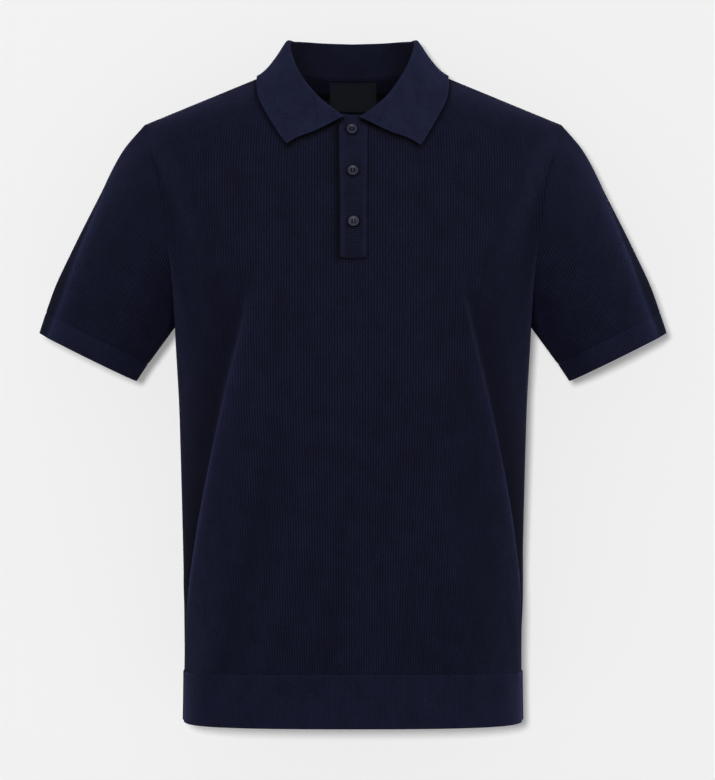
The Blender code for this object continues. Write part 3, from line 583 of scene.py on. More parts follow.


# %% [markdown]
# ## Finishes
# Navy yarn is nearly black but for its blue. Two things make it read as knit: the grooves
# between ribs are painted darker than their crowns, as the shade in them, and the loose fibres
# catch light at a glancing angle. So the rib profile drives both colour and bump, and the
# shader has a little sheen.


# %% Material helpers
class Nodes:
    """A short way to write a material's nodes."""

    def __init__(self, name, **sockets):
        """Starts a material, with these plain numbers and colours on its shader."""
        self.material = bpy.data.materials.new(name)
        self.material.use_nodes = True
        self.tree = self.material.node_tree
        self.shader = self.tree.nodes["Principled BSDF"]
        self.fill(self.shader, sockets)

    def fill(self, node, sockets):
        """Sets or links each named socket, with _ for a space."""
        for name, value in sockets.items():
            self.plug(value, node.inputs[name.replace("_", " ")])

    def add(self, kind, **sockets):
        """Adds a node with these sockets."""
        node = self.tree.nodes.new(kind)
        self.fill(node, sockets)
        return node

    def plug(self, value, socket):
        """Links another node's output, or sets a plain value."""
        if isinstance(value, bpy.types.NodeSocket):
            self.tree.links.new(value, socket)
        else:
            socket.default_value = value

    def math(self, operation, *values):
        """One step of arithmetic."""
        node = self.tree.nodes.new("ShaderNodeMath")
        node.operation = operation
        for value, socket in zip(values, node.inputs):
            self.plug(value, socket)
        return node.outputs[0]

    def blend(self, factor, first, second):
        """Formula: first colour x (1 - factor) + second colour x factor."""
        node = self.tree.nodes.new("ShaderNodeMix")
        node.data_type = "RGBA"
        self.fill(node, {"Factor": factor, "A": (*first, 1), "B": (*second, 1)})
        return node.outputs["Result"]

    def noise(self, scale, detail=2.0, roughness=0.5, stretch=(1, 1, 1)):
        """Clouds of noise that are fixed to the piece."""
        where = self.add("ShaderNodeTexCoord").outputs["Object"]
        mapping = self.add("ShaderNodeMapping", Vector=where, Scale=stretch)
        node = self.add("ShaderNodeTexNoise", Scale=scale, Detail=detail, Roughness=roughness,
                        Vector=mapping.outputs["Vector"])
        return node.outputs["Fac"]

    def own_values(self, name):
        """Three numbers that the piece's points carry."""
        node = self.add("ShaderNodeAttribute")
        node.attribute_name = name
        return self.add("ShaderNodeSeparateXYZ", Vector=node.outputs["Vector"]).outputs

    def ribs(self):
        """Formula: u and v of the piece's rib map, and |cos(pi u)|, the height of a rib."""
        node = self.add("ShaderNodeUVMap")
        node.uv_map = "ribs"
        u, v, _ = self.add("ShaderNodeSeparateXYZ", Vector=node.outputs["UV"]).outputs
        return u, v, self.math("ABSOLUTE", self.math("COSINE", self.math("MULTIPLY", u, math.pi)))

    def bump(self, height):
        """Tilts the shading as a relief of this height, in mm, would."""
        node = self.add("ShaderNodeBump", Strength=1.0, Distance=1 * MM, Height=height)
        self.plug(node.outputs["Normal"], self.shader.inputs["Normal"])


MATT_YARN = {"Roughness": 0.85, "Specular IOR Level": 0.10, "Sheen Roughness": 0.35,
             "Sheen Tint": (0.42, 0.42, 0.90, 1)}
print("matt yarn:", MATT_YARN)

# %% [markdown]
# ## Light on the folds
# Dark cloth in soft light shows its folds by a bright crest and a dark hollow more than by
# its shape. Each point carries how far it is past a crest and how strong that crest is, so
# the finish paints a highlight on the crest and shade in the hollow, at a width finer than
# the grid. A baked texture would do the same, but it would need an image.

# %% Light and shade on the cloth
# painted sheen: at a glancing angle the colour is made up to 1 + RIM_LIGHT times as light
RIM_LIGHT = 1.8
MOTTLE = 0.9
GRAIN = 1.2
LEAST_REACH = 0.1
LEAST_LIGHT = 0.05
LEAST_CLOUD = 0.1


def fold_light(n):
    """Formula: a painted highlight, light x e^(d / before), up to the crest, and past it
    light x f - dark x (1 - f), with painted shade, where f = e^(-d / past)."""
    distance, light, dark = n.own_values("fold")
    before, past, _ = n.own_values("fold_reach")
    before, past = (n.math("MAXIMUM", reach, LEAST_REACH) for reach in (before, past))
    rising = n.math("EXPONENT", n.math("DIVIDE", n.math("MINIMUM", distance, 0.0), before))
    falling = n.math("DIVIDE", n.math("MAXIMUM", distance, 0.0), past)
    falling = n.math("EXPONENT", n.math("MULTIPLY", falling, -1.0))
    lit = n.math("MULTIPLY", light, n.math("MULTIPLY", rising, falling))
    shaded = n.math("MULTIPLY", dark, n.math("SUBTRACT", 1.0, falling))
    return n.math("SUBTRACT", lit, shaded)


def contact_shade(n):
    """Formula: dark x e^-(d / reach)^3 beside the edge of a piece that lies on this one."""
    distance, reach, dark = n.own_values("shade")
    share = n.math("DIVIDE", distance, n.math("MAXIMUM", reach, LEAST_REACH))
    share = n.math("POWER", share, 3.0)
    return n.math("MULTIPLY", dark, n.math("EXPONENT", n.math("MULTIPLY", share, -1.0)))


def clouds(n, mottle, grain):
    """Formula: (1 + mottle x its strength) x (1 + grain x its strength), both about 1."""
    cloud = n.math("MULTIPLY_ADD", mottle, MOTTLE, 1 - MOTTLE / 2)
    speck = n.math("MULTIPLY_ADD", grain, GRAIN, 1 - GRAIN / 2)
    return n.math("MAXIMUM", n.math("MULTIPLY", cloud, speck), LEAST_CLOUD)


def toned(n, colour, mottle, grain, sheen):
    """Formula: colour x (1 + fold + painted shading - shade) x (1 + rim x facing squared) x clouds:
    painted highlights and shade on the colour, and a painted sheen at glancing angles. The
    same painted light scales the matt yarn's blue sheen."""
    painted_shading = n.add("ShaderNodeAttribute")
    painted_shading.attribute_name = "painted_shading"
    light = n.math("ADD", n.math("ADD", fold_light(n), painted_shading.outputs["Fac"]), 1.0)
    light = n.math("MAXIMUM", n.math("SUBTRACT", light, contact_shade(n)), LEAST_LIGHT)
    facing = n.add("ShaderNodeLayerWeight", Blend=0.5).outputs["Facing"]
    # painted sheen: the colour is lighter where the cloth is seen at a glancing angle
    rim = n.math("MULTIPLY_ADD", n.math("POWER", facing, 2.0), RIM_LIGHT, 1.0)
    shown = n.math("MULTIPLY", n.math("MULTIPLY", light, rim), clouds(n, mottle, grain))
    scale = n.add("ShaderNodeVectorMath")
    scale.operation = "SCALE"
    n.plug(colour, scale.inputs[0])
    n.plug(shown, scale.inputs["Scale"])
    n.plug(scale.outputs["Vector"], n.shader.inputs["Base Color"])
    n.plug(n.math("MULTIPLY", light, sheen), n.shader.inputs["Sheen Weight"])


print("a crest's rim is up to", 1 + RIM_LIGHT, "times as light")

# %% [markdown]
# ## Four knits
# The body's rib has the deepest grooves. The bands are knitted tighter, so theirs are
# shallow, and the collar is nearly smooth. The placket is knitted sideways and has level
# ribs between two plain borders. Modelled loops would look no better and cost millions of
# faces, so the rib is a bump and two colours along the rib map, the darker one painted shade
# in the grooves.

# %% Knits
FUZZ_SCALE, MOTTLE_SCALE = 600, 60
FUZZ_HEIGHT, PLACKET_FUZZ_HEIGHT = 0.10, 0.12
RIB_ROUNDING = 0.7
PLACKET_SHEEN = 0.06


def yarn_noise(n, stretch=1):
    """The fuzz of single fibres, and the mottle of the whole cloth."""
    fuzz = n.noise(FUZZ_SCALE, detail=3)
    return fuzz, n.noise(MOTTLE_SCALE, detail=4, roughness=0.6, stretch=(1, 1, stretch))


def knit(name, crown, groove, rib_depth, stitch_depth, sheen):
    """Formula: ribs |cos(pi u)| across, small leaning loops along them, and yarn fuzz."""
    n = Nodes(name, **MATT_YARN)
    u, v, rib = n.ribs()
    rib = n.math("POWER", rib, RIB_ROUNDING)
    loops = n.math("ADD", v, n.math("PINGPONG", u, 0.5))
    loops = n.math("SINE", n.math("MULTIPLY", loops, 2 * math.pi))
    loops = n.math("MULTIPLY_ADD", loops, 0.5, 0.5)
    fuzz, mottle = yarn_noise(n, stretch=0.7)
    height = n.math("MULTIPLY_ADD", loops, stitch_depth, n.math("MULTIPLY", rib, rib_depth))
    n.bump(n.math("MULTIPLY_ADD", fuzz, FUZZ_HEIGHT, height))
    # painted shade: the grooves take the darker colour, the crowns the lighter
    toned(n, n.blend(rib, groove, crown), mottle, fuzz, sheen)
    return n.material


def sideways_knit(name, crown, groove, rib_depth):
    """Formula: level ribs |cos(pi u)|, faded out where v, in mm inside the border, is under 0."""
    n = Nodes(name, **MATT_YARN)
    _, inside, rib = n.ribs()
    ribbed = n.math("MAXIMUM", n.math("ADD", inside, 0.5), 0.0)
    ribbed = n.math("MINIMUM", ribbed, 1.0)
    depth = n.math("MULTIPLY", rib, ribbed)
    fuzz, mottle = yarn_noise(n)
    height = n.math("MULTIPLY", depth, rib_depth)
    n.bump(n.math("MULTIPLY_ADD", fuzz, PLACKET_FUZZ_HEIGHT, height))
    crest = n.math("SUBTRACT", 1.0, n.math("SUBTRACT", ribbed, depth))
    # painted shade: the grooves between the level ribs take the darker colour
    toned(n, n.blend(crest, groove, crown), mottle, fuzz, PLACKET_SHEEN)
    return n.material


# name, crown colour, groove colour painted as shade, depth of rib and stitch in mm, sheen
rib_knit = knit("rib_knit", (0.0061, 0.0072, 0.0222), (0.0020, 0.0024, 0.0074), 0.75, 0.12, 0.07)
band_knit = knit("band_knit", (0.0072, 0.0083, 0.0250), (0.0049, 0.0056, 0.0172), 0.40, 0.12, 0.08)
smooth_knit = knit("smooth_knit", (0.0095, 0.0109, 0.0315), (0.0081, 0.0094, 0.0271), 0.12, 0.10,
                   0.05)
placket_knit = sideways_knit("placket_knit", (0.0068, 0.0078, 0.0230), (0.0020, 0.0023, 0.0072),
                             0.45)
print("knits made:", rib_knit.name, band_knit.name, smooth_knit.name, placket_knit.name)

# %% [markdown]
# ## Front and back
# Each panel is one grid: rows from the hem seam to the top edge, and columns that share out
# the width. Rows and columns crowd together at the edges, where the cloth dips into its
# seam, and the front has a slot where the placket is set in.

# %% Grid spacing
EDGE_STEPS = np.array([0, 0.0012, 0.0026, 0.0045, 0.0075, 0.012])
NECK_COLUMNS = 30
SHOULDER_COLUMNS = 32
ARMHOLE_COLUMNS = 60
PANEL_ROWS = 150
KNIT_WALL = 1.8 * MM
SEAM_GAP = 0.3 * MM
SEAM_DIP = 0.45 * MM
SEAM_DIP_REACH = 1.3 * MM
WELT_RISE = 0.5 * MM
ARMHOLE_FLAT = 0.8
ARMHOLE_EASE = 30 * MM
HEM_EASE_POWER = 6
NECK_MIDDLE = (0, 0.02, 0)
NECK_SHADE_REACH = 110 * MM
NECK_SHADE = 0.45
WELT_PLACE = 4.0 * MM
WELT_REACH = 2.2 * MM
SLOT_SHARE = 0.0500
SLOT_COLUMNS = 5
SLOT_FOOT = -196 * MM
RIB_PITCH = ((-0.70, 2.44 * MM), (-0.60, 2.62 * MM), (-0.35, 2.92 * MM), (-0.10, 3.0 * MM))
COURSE = 1.9 * MM


def panel_shares():
    """Formula: even spacing in the slot, neck, shoulder and armhole, crowded at the side, and
    the same again in the mirror."""
    slot = np.linspace(0, SLOT_SHARE, SLOT_COLUMNS + 1)[:-1]
    neck = np.linspace(SLOT_SHARE, NECK_SHARE, NECK_COLUMNS)[:-1]
    shoulder = np.linspace(NECK_SHARE, SHOULDER_SHARE, SHOULDER_COLUMNS)[:-1]
    arm = np.linspace(SHOULDER_SHARE, 1 - EDGE_STEPS[-1], ARMHOLE_COLUMNS)
    half = np.concatenate([slot, neck, shoulder, arm, 1 - EDGE_STEPS[-2::-1]])
    return np.concatenate([-half[:0:-1], half])


def panel_fractions():
    """Formula: even rows, with crowded ones at both ends."""
    middle = np.linspace(EDGE_STEPS[-1], 1 - EDGE_STEPS[-1], PANEL_ROWS)
    return np.concatenate([EDGE_STEPS[:-1], middle, 1 - EDGE_STEPS[-2::-1]])


def seam_dip(points, rows=(True, True), columns=(True, True)):
    """Formula: a dip of exp(-(distance to the edge / reach) squared) at each seam."""
    down = lengths_along(points)
    over = lengths_across(points)
    dip = np.zeros(down.shape)
    distances = (down, down[-1] - down, over, over[:, -1:] - over)
    for wanted, distance in zip((*rows, *columns), distances):
        if wanted:
            dip = np.maximum(dip, bell(distance, SEAM_DIP_REACH))
    return dip * SEAM_DIP


def above_underarm(points):
    """Formula: 0 up to the underarm, then straight up to 1 over the ease."""
    return np.clip((points[..., 2] - FRONT_ARMHOLE[-1, 2]) / ARMHOLE_EASE, 0, 1)


def armhole_welt(points):
    """Formula: a ridge exp(-((distance to the side - place) / reach) squared) on the armhole."""
    over = lengths_across(points)
    to_side = np.minimum(over, over[:, -1:] - over)
    ridge = bell(to_side - WELT_PLACE, WELT_REACH)
    return WELT_RISE * above_underarm(points[:, :1]) * ridge


def rib_uv(points, up, start, pitch):
    """Formula: rib place divided by the pitch at that height, and courses up the column."""
    across = rib_places(points, up, start)
    height = points @ np.asarray(up)
    pitch = np.interp(height, *np.array(pitch).T) if np.ndim(pitch) else pitch
    return np.stack([across / pitch, lengths_along(points) / COURSE], axis=-1)


def facing_out(face, *grids):
    """Turns the columns of the back's grids round, so that its cloth too faces outwards."""
    return [grid if face == "front" else grid[:, ::-1] for grid in grids]


print(f"a panel's grid has {len(panel_fractions())} rows and {len(panel_shares())} columns")

# %% [markdown]
# ## The two panels
# The body's surface gives the grid, the creases, the welt and the seam dips raise or lower
# it along its normals, and the cloth wall closes it. Inside, near the neck, where little light
# falls in, the cloth carries painted shade. A sewing program could drape flat patterns over a
# form, but then the creases would fall where it likes.


# %% Front and back
def body_panel(face):
    """Formula: the body's surface, moved out along its normals by creases + welt - seam dip,
    and its inner side one wall further in. The front has no cells in the placket's slot."""
    shares, fractions = panel_shares(), panel_fractions()
    grid = body_surface(face, shares, fractions)
    relief = crease_relief(face, shares, grid[..., 2]) * (1 - fractions[:, None] ** HEM_EASE_POWER)
    relief += armhole_welt(grid) - seam_dip(grid) * (1 - ARMHOLE_FLAT * above_underarm(grid))
    outer = grid + surface_normals(grid) * relief[..., None]
    uv = rib_uv(grid, UP, len(shares) // 2, RIB_PITCH)
    tones = crease_tones(face, shares, grid[..., 2])
    # painted shade on the inner side of the cloth near the neck
    near = np.linalg.norm(grid - NECK_MIDDLE, axis=-1) / NECK_SHADE_REACH
    within = tones["painted_shading"] - NECK_SHADE * np.exp(-(near**4))
    in_slot = (np.abs(shares[:-1] + shares[1:]) / 2 < SLOT_SHARE) & (face == "front")
    keep = ~((grid[1:, :-1, 2] > SLOT_FOOT) & in_slot)
    grid, outer, uv, within, *turned_tones = facing_out(face, grid, outer, uv, within,
                                                        *tones.values())
    inner = outer - surface_normals(grid) * KNIT_WALL
    mesh = cloth_mesh(f"knit_{face}", outer, inner, uv, keep=keep,
                      tones=dict(zip(tones, turned_tones)), inside={"painted_shading": within})
    return outer, mesh


front_grid, front_mesh = body_panel("front")
back_grid, back_mesh = body_panel("back")
front = add_piece("knit_front", front_mesh, rib_knit, "rib_knit", "front")
back = add_piece("knit_back", back_mesh, rib_knit, "rib_knit", "back")
state_cut(front, front_grid, "hung", "knit_back", up=UP)
state_cut(back, back_grid, "hung", "knit_front", up=UP)
print("front panel spans", np.ptp(front_grid.reshape(-1, 3), axis=0))

# %% [markdown]
# ## Hem bands
# A doubled band in a closer rib is linked to the panels' lower edges and pulls them in a
# little. Its lower edge is a fold of cloth, so it is rounded.

# %% Hem bands
HEM_ROWS = 26
HEM_PITCH = 2.44 * MM
HEM_SIDE_LIGHT = 1.45
HEM_SIDE_START = 0.8
HEM_FOOT_LIGHT = 0.12
FOLD_ROUNDING = 1.2 * MM


def rounded_edge(distance, depth, reach):
    """Formula: how far a wall thins towards its edge: depth x (1 - quarter circle)."""
    near = np.clip(1 - distance / reach, 0, 1)
    return depth * (1 - np.sqrt(1 - near**2))


def hem_band(face):
    """Formula: the body's ovals from the fold up to the hem seam, raised by the creases, with
    a dip at the seam and a wall that rounds off at the fold."""
    shares = panel_shares()
    seam = hem_seam_height(shares)
    fractions = np.concatenate([[0, 0.006, 0.014, 0.024], np.linspace(0.04, 0.94, HEM_ROWS),
                                [0.965, 0.983, 1]])
    heights = HEM_EDGE + (seam - HEM_EDGE) * fractions[:, None]
    grid = on_ovals(ovals(face, shares), heights)
    relief = crease_relief(face, shares, heights)
    normals = surface_normals(grid)
    fold = rounded_edge(lengths_along(grid), KNIT_WALL / 2, FOLD_ROUNDING)
    outer = grid + normals * (relief - seam_dip(grid, rows=(False, True)) - fold)[..., None]
    inner = grid + normals * (relief - KNIT_WALL + fold)[..., None]
    uv = rib_uv(grid, UP, len(shares) // 2, HEM_PITCH)
    outer, inner, uv = facing_out(face, outer, inner, uv)
    # painted highlight towards the band's ends at the sides and along its folded lower edge
    at_side = np.clip((np.abs(shares) - HEM_SIDE_START) / (1 - HEM_SIDE_START), 0, 1)
    tones = {"painted_shading": HEM_SIDE_LIGHT * at_side + HEM_FOOT_LIGHT * (1 - fractions[:, None])}
    mesh = cloth_mesh(f"hem_{face}", outer, inner, uv, tones=tones)
    band = add_piece(f"hem_{face}", mesh, band_knit, "band_knit", f"hem_band_{face}")
    state_cut(band, grid, "hung", f"knit_{face}")


for face in ("front", "back"):
    hem_band(face)

# %% [markdown]
# ## Sleeves and cuffs
# A sleeve is a tube from the armhole seam to the cuff. At the top it has the armhole's own
# shape, and that fades into a plain oval down the arm. Its ribs run along the arm.

# %% Sleeves
# x, z of the over-arm edge, then x, z of the under-arm edge
SLEEVE_PROFILE = np.array([
    (0.2255, -0.0485, 0.1920, -0.2670),
    (0.2470, -0.0745, 0.1962, -0.2726),
    (0.2620, -0.1010, 0.2000, -0.2778),
    (0.2850, -0.1460, 0.2066, -0.2868),
    (0.3050, -0.1870, 0.2126, -0.2950),
    (0.3220, -0.2240, 0.2180, -0.3024),
    (0.3318, -0.2513, 0.2212, -0.3065),
])
CUFF_END = np.array((0.3390, -0.2734, 0.2338, -0.3254))
SLEEVE_HALF_DEPTH = 64 * MM
CUFF_HALF_DEPTH = 46 * MM
RING_HALF = 60
SLEEVE_ROWS = 70
SLEEVE_EDGE_STEPS = EDGE_STEPS * 2.4
CUFF_ROWS = 12
SLEEVE_PITCH = 3.0 * MM
CUFF_PITCH = 1.6 * MM
# share of the way up from the cuff, turn of the fold round the arm in degrees, painted crest
# highlight, painted shade past it
PRESSED_LINE = np.array([
    (0.00, 139, 0.95, 0.50),
    (0.15, 139, 1.00, 0.50),
    (0.31, 147, 1.00, 0.42),
    (0.46, 154, 1.00, 0.31),
    (0.60, 164, 0.90, 0.15),
    (0.72, 176, 0.60, 0.00),
    (0.88, 182, 0.25, 0.00),
    (1.00, 186, 0.00, 0.00),
])
PRESSED_REACH = (9.0, 3.0)
# rise, drop, reach, width of the drop and how far it lasts, in mm
PRESSED_FORM = (1.0, 1.4, 14, 9, 26)
SLEEVE_UP = unit(np.array([-0.464, 0, 0.886]))
arm_length = lengths_along(SLEEVE_PROFILE[:, :2])[-1]
print(f"along the top of the arm: {arm_length / MM:.0f} mm, and the cuff past it")

# %% [markdown]
# ## A tube with a pressed fold
# A short sleeve is pressed flat before it is worn, and one fold stays along the front of the
# arm. It is placed on the tube as a body fold is on its panel, by its distance round the
# arm, with a painted highlight on its crest and painted shade past it. The tube for the other
# arm is the same one in the mirror.


# %% Tube of cloth
def ring(edges, half_depth):
    """Formula: middle - half the width x cos(t) + half the depth x sin(t), from the underarm."""
    turn = np.linspace(0, 2 * math.pi, 2 * RING_HALF, endpoint=False)
    edges = np.atleast_2d(edges)
    over = np.stack([edges[:, 0], 0 * edges[:, 0], edges[:, 1]], axis=-1)[:, None]
    under = np.stack([edges[:, 2], 0 * edges[:, 0], edges[:, 3]], axis=-1)[:, None]
    across = (over - under) / 2 * np.cos(turn)[:, None]
    deep = np.array([0, -1, 0]) * np.sin(turn)[:, None] * np.atleast_1d(half_depth)[:, None, None]
    return (over + under) / 2 - across + deep


def armhole_ring():
    """Formula: up the front of the armhole from the underarm, then down its back."""
    share = np.linspace(0, 1, RING_HALF + 1)
    return np.concatenate([at_share(FRONT_ARMHOLE, 1 - share), at_share(BACK_ARMHOLE, share[1:-1])])


def sleeve_surface(fractions):
    """Formula: plain oval + (armhole - oval at the top) x (1 - share of the way down) squared."""
    keys = lengths_along(SLEEVE_PROFILE[:, :2])
    profile = smooth_through(keys, SLEEVE_PROFILE, fractions * keys[-1])
    depth = SLEEVE_HALF_DEPTH + (CUFF_HALF_DEPTH - SLEEVE_HALF_DEPTH) * fractions
    own_shape = armhole_ring() - ring(SLEEVE_PROFILE[0], SLEEVE_HALF_DEPTH)[0]
    grid = ring(profile, depth) + own_shape * ((1 - fractions) ** 2)[:, None, None]
    return grid[::-1]


def pressed_fold(grid, shares):
    """Formula: distance round the tube past a fold in front of the over-arm. It gives the
    relief of the fold, and the painted highlight and shade that the finish reads."""
    turns, *strengths = smooth_through(PRESSED_LINE[:, 0], PRESSED_LINE[:, 1:], shares).T
    places = lengths_across(unrolled(grid))[:, :-1]
    column = turns / 360 * 2 * RING_HALF
    low = column.astype(int)
    row = np.arange(len(grid))
    at = places[row, low] + (column - low) * (places[row, low + 1] - places[row, low])
    # The columns run from the underarm up the front, so past the crest they run to the back.
    outward = (places - at[:, None]) / MM
    light, dark = (strength[:, None] for strength in strengths)
    relief = fold_form(outward, *PRESSED_FORM) * light
    return relief, fold_lines(outward, light, dark, *PRESSED_REACH)


def tube_uv(grid, pitch):
    """The rib map of a tube, unrolled from the underarm seam."""
    return rib_uv(unrolled(grid), SLEEVE_UP, RING_HALF, pitch)


def other_side(outer, inner, uv, tones):
    """The same tube on the -X side. Its columns run the other way, so that it still faces out."""
    outer, inner = (np.roll(g[:, ::-1], 1, axis=1) * (-1, 1, 1) for g in (outer, inner))
    tones = {key: np.roll(grid[:, ::-1], 1, axis=1) for key, grid in tones.items()}
    return outer, inner, uv[:, ::-1], tones


def add_tube(name, side, node, grid, rises, pitch, tones, material, slot):
    """Formula: a closed wall between the grid moved along its normals by two rises."""
    normals = surface_normals(grid, closed=True)
    outer, inner = (grid + normals * rise[..., None] for rise in rises)
    uv = tube_uv(grid, pitch)
    if side == "right":
        outer, inner, uv, tones = other_side(outer, inner, uv, tones)
    mesh = cloth_mesh(f"{name}_{side}", outer, inner, uv, closed=True, tones=tones)
    return add_piece(f"{name}_{side}", mesh, material, slot, f"{node}_{side}")


# %% [markdown]
# ## The two sleeves and their cuffs
# The sleeve dips into the cuff's seam and hardly at all into the armhole's, which stands up
# as a welt. The cuff is a turned band, so it ends in a fold, and its ribs are finer.


# %% Sleeves and cuffs
def sleeve(side):
    """Formula: the sleeve's surface, raised by the pressed fold and lowered by the seam dip."""
    fractions = np.concatenate([SLEEVE_EDGE_STEPS[:-1], np.linspace(0.03, 0.97, SLEEVE_ROWS),
                                1 - SLEEVE_EDGE_STEPS[-2::-1]])
    grid = sleeve_surface(fractions)
    dip = seam_dip(grid, columns=(False, False))
    dip[len(grid) // 2 :] *= 1 - ARMHOLE_FLAT
    crease, tones = pressed_fold(grid, 1 - fractions[::-1])
    rises = (crease - dip, crease - dip - KNIT_WALL)
    tube = add_tube("knit_sleeve", side, "sleeve", grid, rises, SLEEVE_PITCH, tones, rib_knit,
                    "rib_knit")
    state_cut(tube, grid, "hung", "knit_front", "knit_back", up=SLEEVE_UP, closed=True)


def cuff(side):
    """Formula: rings from the cuff's end to the sleeve's last one, with a rounded fold."""
    fractions = np.concatenate([[0, 0.015, 0.035, 0.06], np.linspace(0.1, 0.88, CUFF_ROWS),
                                [0.92, 0.96, 1]])[:, None]
    edges = CUFF_END + (SLEEVE_PROFILE[-1] - CUFF_END) * fractions
    grid = ring(edges, np.full(len(edges), CUFF_HALF_DEPTH))
    fold = rounded_edge(lengths_along(grid), KNIT_WALL / 2, FOLD_ROUNDING)
    dip = seam_dip(grid, rows=(False, True), columns=(False, False))
    crease, tones = pressed_fold(grid, np.zeros(len(grid)))
    rises = (crease - dip - fold, crease - KNIT_WALL + fold)
    band = add_tube("band", side, "cuff", grid, rises, CUFF_PITCH, tones, band_knit, "band_knit")
    state_cut(band, grid, "hung", f"knit_sleeve_{side}", closed=True)


for side in ("left", "right"):
    sleeve(side)
for side in ("left", "right"):
    cuff(side)

# %% [markdown]
# ## Collar
# The collar is one knitted piece. It stands up from the neck seam, rolls over and comes down
# as a leaf, which rests on the shoulders at the side and on the chest in front. A table of
# stations round the neck gives the top of the roll and the leaf's edge. Between them the
# profile is a straight stand, a round roll and a leaf that bends towards the body, and
# wherever the leaf would come too near the panels it is eased out along their normals.

# %% Collar sizes
# place round the neck (0 front edge, 1 shoulder, 2 centre back), roll x, y, z, edge x, y, z
COLLAR_STATIONS = np.array([
    (0.00, 0.0102, -0.0775, -0.0460, 0.0700, -0.0860, -0.0744),
    (0.18, 0.0206, -0.0735, -0.0385, 0.0788, -0.0800, -0.0632),
    (0.37, 0.0367, -0.0640, -0.0245, 0.0861, -0.0720, -0.0512),
    (0.60, 0.0531, -0.0500, -0.0045, 0.0943, -0.0560, -0.0360),
    (0.82, 0.0642, -0.0310, 0.0160, 0.1022, -0.0330, -0.0172),
    (1.00, 0.0701, 0.0020, 0.0388, 0.1042, 0.0040, 0.0035),
    (1.29, 0.0632, 0.0330, 0.0438, 0.0945, 0.0290, -0.0080),
    (1.45, 0.0521, 0.0457, 0.0446, 0.0765, 0.0420, -0.0120),
    (1.65, 0.0340, 0.0565, 0.0444, 0.0480, 0.0580, -0.0130),
    (2.00, 0.0000, 0.0620, 0.0438, 0.0000, 0.0680, -0.0135),
])
# what the half on the +X side adds to roll x and z and to edge x and z, by station, in mm
LEFT_HALF_ADDS = np.array([
    (-2.4, -0.8, 2.2, -1.6),
    (-0.8, 0.0, 0.4, -1.2),
    (-1.2, 0.0, 0.4, -0.6),
    (-2.9, 0.0, 0.2, 0.0),
    (-3.0, 0.0, -0.3, 0.0),
    (-1.7, 0.0, -1.0, 0.0),
    (-1.8, 0.0, 0.0, 0.0),
    (-0.8, 0.0, 0.0, 0.0),
    (0.0, 0.0, 0.0, 0.0),
    (0.0, 0.0, 0.0, 0.0),
])
COLLAR_WALL = 2.0 * MM
ROLL_RADIUS = 1.9 * MM
LEAF_REST = 2.6 * MM
SHOULDER_REST = 1.4 * MM
LEAF_HOLLOW = 2.6 * MM
COLLAR_EDGE = 1.1 * MM
NECK_WELT_PLACE = 4.2 * MM
NECK_WELT_RISE = 0.6 * MM
NECK_MIDDLE_LOW = (0, 0, -20 * MM)
NECK_REACH = 160 * MM
SLOT_EDGE_SHARE = 0.0572
STAND_STEPS = np.array([0, 0.02, 0.05, 0.10, 0.16, 0.22, 0.28, 0.36, 0.5, 0.66, 0.82, 0.94])
STAND_ROWS = len(STAND_STEPS)
ROLL_ROWS = 14
LEAF_STEPS = np.concatenate([np.linspace(0, 0.9, 26)[1:], [0.93, 0.955, 0.975, 0.988, 1]])
NECK_EDGE_STEPS = EDGE_STEPS * 1.6
print(f"collar: {len(COLLAR_STATIONS)} stations, {STAND_ROWS + ROLL_ROWS + len(LEAF_STEPS)} rows")

# %% [markdown]
# ## Resting one piece on another
# A leaf that is drawn freely would cut through the shoulder somewhere. Cloth collision would
# keep it out, slowly. Here each point of the leaf finds the nearest point of the panels and
# is moved along the normal there, until it stands as high over it as the leaf rests.


# %% Resting on the panels
class Rest:
    """The outer side of some panels near the neck, for other pieces to lie on."""

    def __init__(self, *grids):
        """Keeps the points of these grids that are near the neck, and their normals."""
        points = np.concatenate([grid.reshape(-1, 3) for grid in grids])
        normals = np.concatenate([surface_normals(grid).reshape(-1, 3) for grid in grids])
        near = np.linalg.norm(points - NECK_MIDDLE_LOW, axis=1) < NECK_REACH
        self.points, self.normals = points[near], normals[near]

    def push(self, points, distance):
        """Formula: (distance - height over the nearest panel point) along its normal. The
        nearest p is the one where |p| squared - 2 p . q is least, for a row of q at a time."""
        squares = (self.points**2).sum(axis=1)
        rows = points.reshape(-1, *points.shape[-2:])
        nearest = [np.argmin(squares - 2 * row @ self.points.T, axis=1) for row in rows]
        nearest = np.reshape(nearest, points.shape[:-1])
        place, normal = self.points[nearest], self.normals[nearest]
        height = ((points - place) * normal).sum(axis=-1)
        return (distance - height)[..., None], normal

    def settled(self, points, distance, level):
        """Formula: brought to this height over the panels, straight forward where level is 1."""
        for _ in range(5):
            short, normal = self.push(points, distance)
            way = unit(normal * (1 - level) + np.array([0, -1, 0]) * level)
            points = points + way * short / (normal * way).sum(axis=-1, keepdims=True)
        return points

    def cleared(self, points, distance, ease=0.6 * MM):
        """Formula: out by (short + sqrt(short squared + ease squared)) / 2, a soft maximum."""
        for _ in range(2):
            short, normal = self.push(points, distance)
            points = points + normal * (short + np.sqrt(short**2 + ease**2)) / 2
        return points


panels = Rest(front_grid, back_grid)
print("panel points near the neck:", len(panels.points))

# %% [markdown]
# ## The collar's surface
# Each half runs from the placket to the centre back. At every place round the neck the
# profile starts on the seam, goes straight up the stand, round the roll on an arc, and from
# the arc's tangent out to the leaf's edge with a slight hollow.

# %% Collar surface
CHEST_ENDS, CHEST_FADE = 0.9, 0.4
SHOULDER_SPREAD = 0.2


